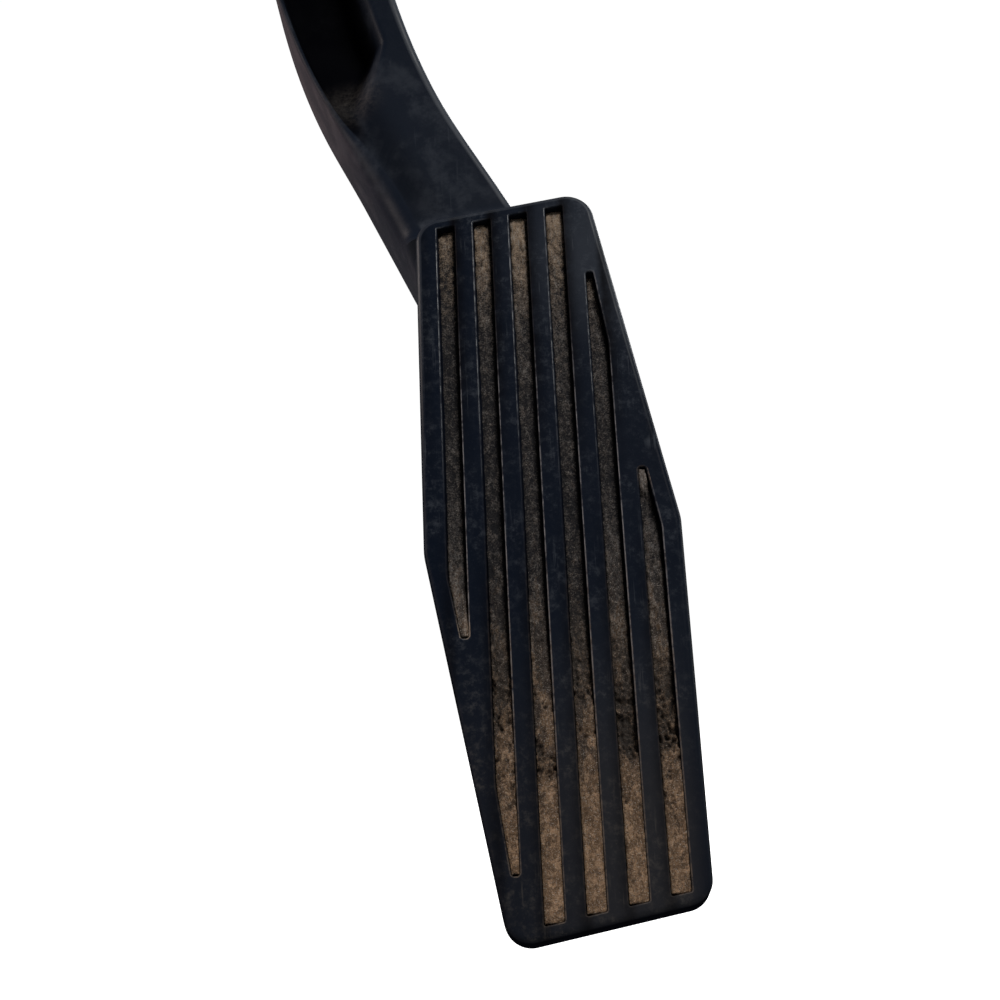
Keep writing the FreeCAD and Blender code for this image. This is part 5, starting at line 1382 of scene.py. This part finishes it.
def aim(obj, target):
    """Points a lamp at a place."""
    direction = Vector(target) - obj.location
    obj.rotation_euler = direction.to_track_quat("-Z", "Y").to_euler()


def soft_light(name, place, target, size, power, tint):
    """A round area light."""
    data = bpy.data.lights.new(name, "AREA")
    data.shape = "DISK"
    data.size = size
    data.energy = power
    data.color = tint
    lamp = bpy.data.objects.new(name, data)
    bpy.context.scene.collection.objects.link(lamp)
    lamp.location = place
    aim(lamp, target)


def build_camera():
    """The camera, placed in the pad's frame."""
    s = settings().stage
    frame_matrix = pad_matrix()
    turn = frame_matrix.to_3x3()
    ahead = (turn @ Vector(s.ahead)).normalized()
    right = ahead.cross(turn @ Vector(s.upward)).normalized()
    up = right.cross(ahead)
    data = bpy.data.cameras.new("camera")
    data.lens = s.lens
    data.clip_start, data.clip_end = 0.01, 50.0
    camera = bpy.data.objects.new("camera", data)
    bpy.context.scene.collection.objects.link(camera)
    rotation = Matrix((right, up, -ahead)).transposed().to_4x4()
    camera.matrix_world = Matrix.Translation(frame_matrix @ Vector(s.eye)) @ rotation
    bpy.context.scene.camera = camera


def build_floor():
    """A matt pale floor that looks white to the camera."""
    s = settings().stage
    bm = bmesh.new()
    bmesh.ops.create_circle(bm, cap_ends=True, radius=s.floor_size / MM, segments=96)
    m, tree, shader, place = new_material("pale_floor")
    tone = span(tree, grain(tree, place, 0.8, 2.0), 0.3, 0.7, 0.0, 1.0)
    link(tree, blend_colour(tree, tone, *FLOOR_TONES), shader, "Base Color")
    shader.inputs["Roughness"].default_value = 1.0
    shader.inputs["Specular IOR Level"].default_value = 0.0
    ray = tree.nodes.new("ShaderNodeLightPath").outputs["Is Camera Ray"]
    shader.inputs["Emission Color"].default_value = (1.0, 1.0, 1.0, 1.0)
    link(tree, ray, shader, "Emission Strength")
    place = Matrix.Translation((0, 0, CAD_BOX[0][2] - s.floor_drop))
    floor = finish_piece("floor", bm, place, [m])


def build_world():
    """White to look at, dim as a light."""
    world = bpy.data.worlds.new("room")
    world.use_nodes = True
    tree = world.node_tree
    tree.nodes.clear()
    seen = put(tree, "ShaderNodeBackground", {"Color": (1, 1, 1, 1), "Strength": 1.02})
    fill = settings().stage.fill
    lit = put(tree, "ShaderNodeBackground", {"Color": (0.90, 0.95, 1.0, 1), "Strength": fill})
    ray = tree.nodes.new("ShaderNodeLightPath")
    choice = put(tree, "ShaderNodeMixShader",
                 {0: ray.outputs["Is Camera Ray"], 1: lit.outputs[0], 2: seen.outputs[0]})
    out = tree.nodes.new("ShaderNodeOutputWorld")
    tree.links.new(choice.outputs[0], out.inputs[0])
    bpy.context.scene.world = world


# ---- operators ----
class PEDAL_OT_stage(Operator):
    """Camera, lights, room and floor"""
    bl_idname = "pedal.stage"
    bl_label = "Stage and camera"

    def execute(self, context):
        s = settings().stage
        context.scene.view_settings.view_transform = "Standard"
        build_camera()
        build_world()
        build_floor()
        pad = pad_matrix()
        for name, place, target, size, strength, tint in LIGHTS:
            soft_light(name, pad @ Vector(place), pad @ Vector(target), size, getattr(s, strength), tint)
        return {"FINISHED"}


class PEDAL_OT_pad(Operator):
    """Pad moulding with its grooves and the heads that hold it"""
    bl_idname = "pedal.pad"
    bl_label = "Pad"

    def execute(self, context):
        pad = build_pad()
        build_stakes(pad.data.materials[0])
        return {"FINISHED"}


class PEDAL_OT_dust(Operator):
    """Dust caked in the six grooves"""
    bl_idname = "pedal.dust"
    bl_label = "Groove dust"

    def execute(self, context):
        material = dust_finish()
        for index in range(GROOVES):
            build_dust_strip(index, material)
        return {"FINISHED"}


class PEDAL_OT_arm(Operator):
    """Arm with its scoop, ribs, hub, tail and foot plate"""
    bl_idname = "pedal.arm"
    bl_label = "Arm"

    def execute(self, context):
        build_arm(arm_finish())
        return {"FINISHED"}


class PEDAL_OT_springs(Operator):
    """Return springs, friction spring and shaft clip"""
    bl_idname = "pedal.springs"
    bl_label = "Springs"

    def execute(self, context):
        f, s = settings().finish, settings().springs
        wire = metal_finish("oiled_spring_wire", f.spring, rough=0.34, lines=(220.0, 220.0, 1500.0),
                            tarnish=(0.10, 0.09, 0.08), spots=0.3)
        build_spring("outer_return_spring", "outer_spring", s.outer_wire / MM, s.outer_turns, wire)
        build_spring("inner_return_spring", "inner_spring", s.inner_wire / MM, s.inner_turns, wire)
        paint(wire, "friction_spring", "shaft_clip")
        return {"FINISHED"}


class PEDAL_OT_housing(Operator):
    """Finishes of the housing, its covers, bumpers and friction parts"""
    bl_idname = "pedal.housing"
    bl_label = "Housing"

    def execute(self, context):
        tint = settings().finish.housing
        paint(moulded_finish("housing_filled_nylon", tint, rough=0.52, texture_scale=1500.0,
                             texture_depth=0.00010, film=0.12, settled=0.35), "housing")
        paint(moulded_finish("cover_filled_nylon", darker(tint, 1.2), rough=0.48, texture_scale=1700.0,
                             texture_depth=0.00008, film=0.10, settled=0.35), "side_cover")
        paint(moulded_finish("smooth_black_plastic", darker(tint, 0.8), rough=0.36, texture_scale=2600.0,
                             texture_depth=0.00004, film=0.06, settled=0.30), "cover_cap", "friction_plug")
        paint(rubber_finish(), "idle_bumper", "full_travel_bumper", "damping_washer", "cover_seal")
        paint(lining_finish(), "friction_shoe")
        return {"FINISHED"}


class PEDAL_OT_bearings(Operator):
    """Finishes of the shaft, bushes, seats and fasteners"""
    bl_idname = "pedal.bearings"
    bl_label = "Bearings and fasteners"

    def execute(self, context):
        f = settings().finish
        paint(metal_finish("ground_steel", f.steel, rough=0.24, lines=(2600.0, 60.0, 60.0),
                           tarnish=(0.40, 0.39, 0.37), spots=0.2), "pivot_shaft")
        paint(metal_finish("sintered_bronze", f.bronze, rough=0.48, lines=(900.0, 900.0, 900.0),
                           tarnish=(0.26, 0.15, 0.07), spots=0.7), "left_bush", "right_bush")
        paint(moulded_finish("natural_sliding_plastic", f.natural, rough=0.40, texture_scale=2200.0,
                             texture_depth=0.00004, film=0.05, settled=0.12), "spring_rocker", "spring_seat")
        paint(metal_finish("zinc_plate", f.zinc, rough=0.32, lines=(700.0, 700.0, 700.0),
                           tarnish=(0.46, 0.45, 0.40), spots=0.25),
              "side_cover_screws", "sensor_cover_screws", "mounting_sleeves")
        return {"FINISHED"}


class PEDAL_OT_sensor(Operator):
    """Finishes of the angle sensor and its connector"""
    bl_idname = "pedal.sensor"
    bl_label = "Angle sensor"

    def execute(self, context):
        tint = settings().finish.housing
        paint(moulded_finish("sensor_cover_plastic", darker(tint, 0.9), rough=0.40, texture_scale=2100.0,
                             texture_depth=0.00005, film=0.08, settled=0.35), "sensor_cover")
        paint(moulded_finish("rotor_plastic", (0.42, 0.41, 0.38), rough=0.42, texture_scale=2200.0,
                             texture_depth=0.00004, film=0.05, settled=0.1), "magnet_rotor")
        paint(metal_finish("sintered_magnet", (0.13, 0.13, 0.14), rough=0.5, lines=(900.0, 900.0, 900.0),
                           tarnish=(0.08, 0.08, 0.08), spots=0.6), "sensor_magnets")
        paint(board_finish(), "circuit_board")
        paint(moulded_finish("chip_resin", (0.020, 0.020, 0.021), rough=0.45, texture_scale=3200.0,
                             texture_depth=0.00003, film=0.04, settled=0.05), "hall_chips")
        paint(ceramic_finish(), "board_capacitors")
        paint(metal_finish("tinned_brass", (0.66, 0.64, 0.58), rough=0.28, lines=(60.0, 60.0, 2400.0),
                           tarnish=(0.48, 0.42, 0.30), spots=0.2), "terminal_pins")
        return {"FINISHED"}


class PEDAL_PT_panel(Panel):
    """Lists the builders of the pedal's pieces"""
    bl_label = "Accelerator pedal"
    bl_idname = "PEDAL_PT_panel"
    bl_space_type = "VIEW_3D"
    bl_region_type = "UI"
    bl_category = "Pedal"

    def draw(self, context):
        for step in BUILD_ORDER:
            self.layout.operator(step.bl_idname)


BUILD_ORDER = (PEDAL_OT_stage, PEDAL_OT_pad, PEDAL_OT_dust, PEDAL_OT_arm, PEDAL_OT_springs,
               PEDAL_OT_housing, PEDAL_OT_bearings, PEDAL_OT_sensor)
SETTINGS = (PlacingSettings, PadSettings, DustSettings, ArmSettings, SpringSettings, FinishSettings,
            StageSettings, PedalSettings)
CLASSES = SETTINGS + BUILD_ORDER + (PEDAL_PT_panel,)


def register():
    for cls in CLASSES:
        bpy.utils.register_class(cls)
    bpy.types.Scene.pedal = PointerProperty(type=PedalSettings)


def unregister():
    del bpy.types.Scene.pedal
    for cls in reversed(CLASSES):
        bpy.utils.unregister_class(cls)


def main():
    """Clears the start-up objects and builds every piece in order."""
    for o in list(bpy.data.objects):
        if o.name in ("Cube", "Light", "Camera"):
            bpy.data.objects.remove(o)
    register()
    for step in BUILD_ORDER:
        group, name = step.bl_idname.split(".")
        getattr(getattr(bpy.ops, group), name)()


if __name__ == "__main__":
    main()
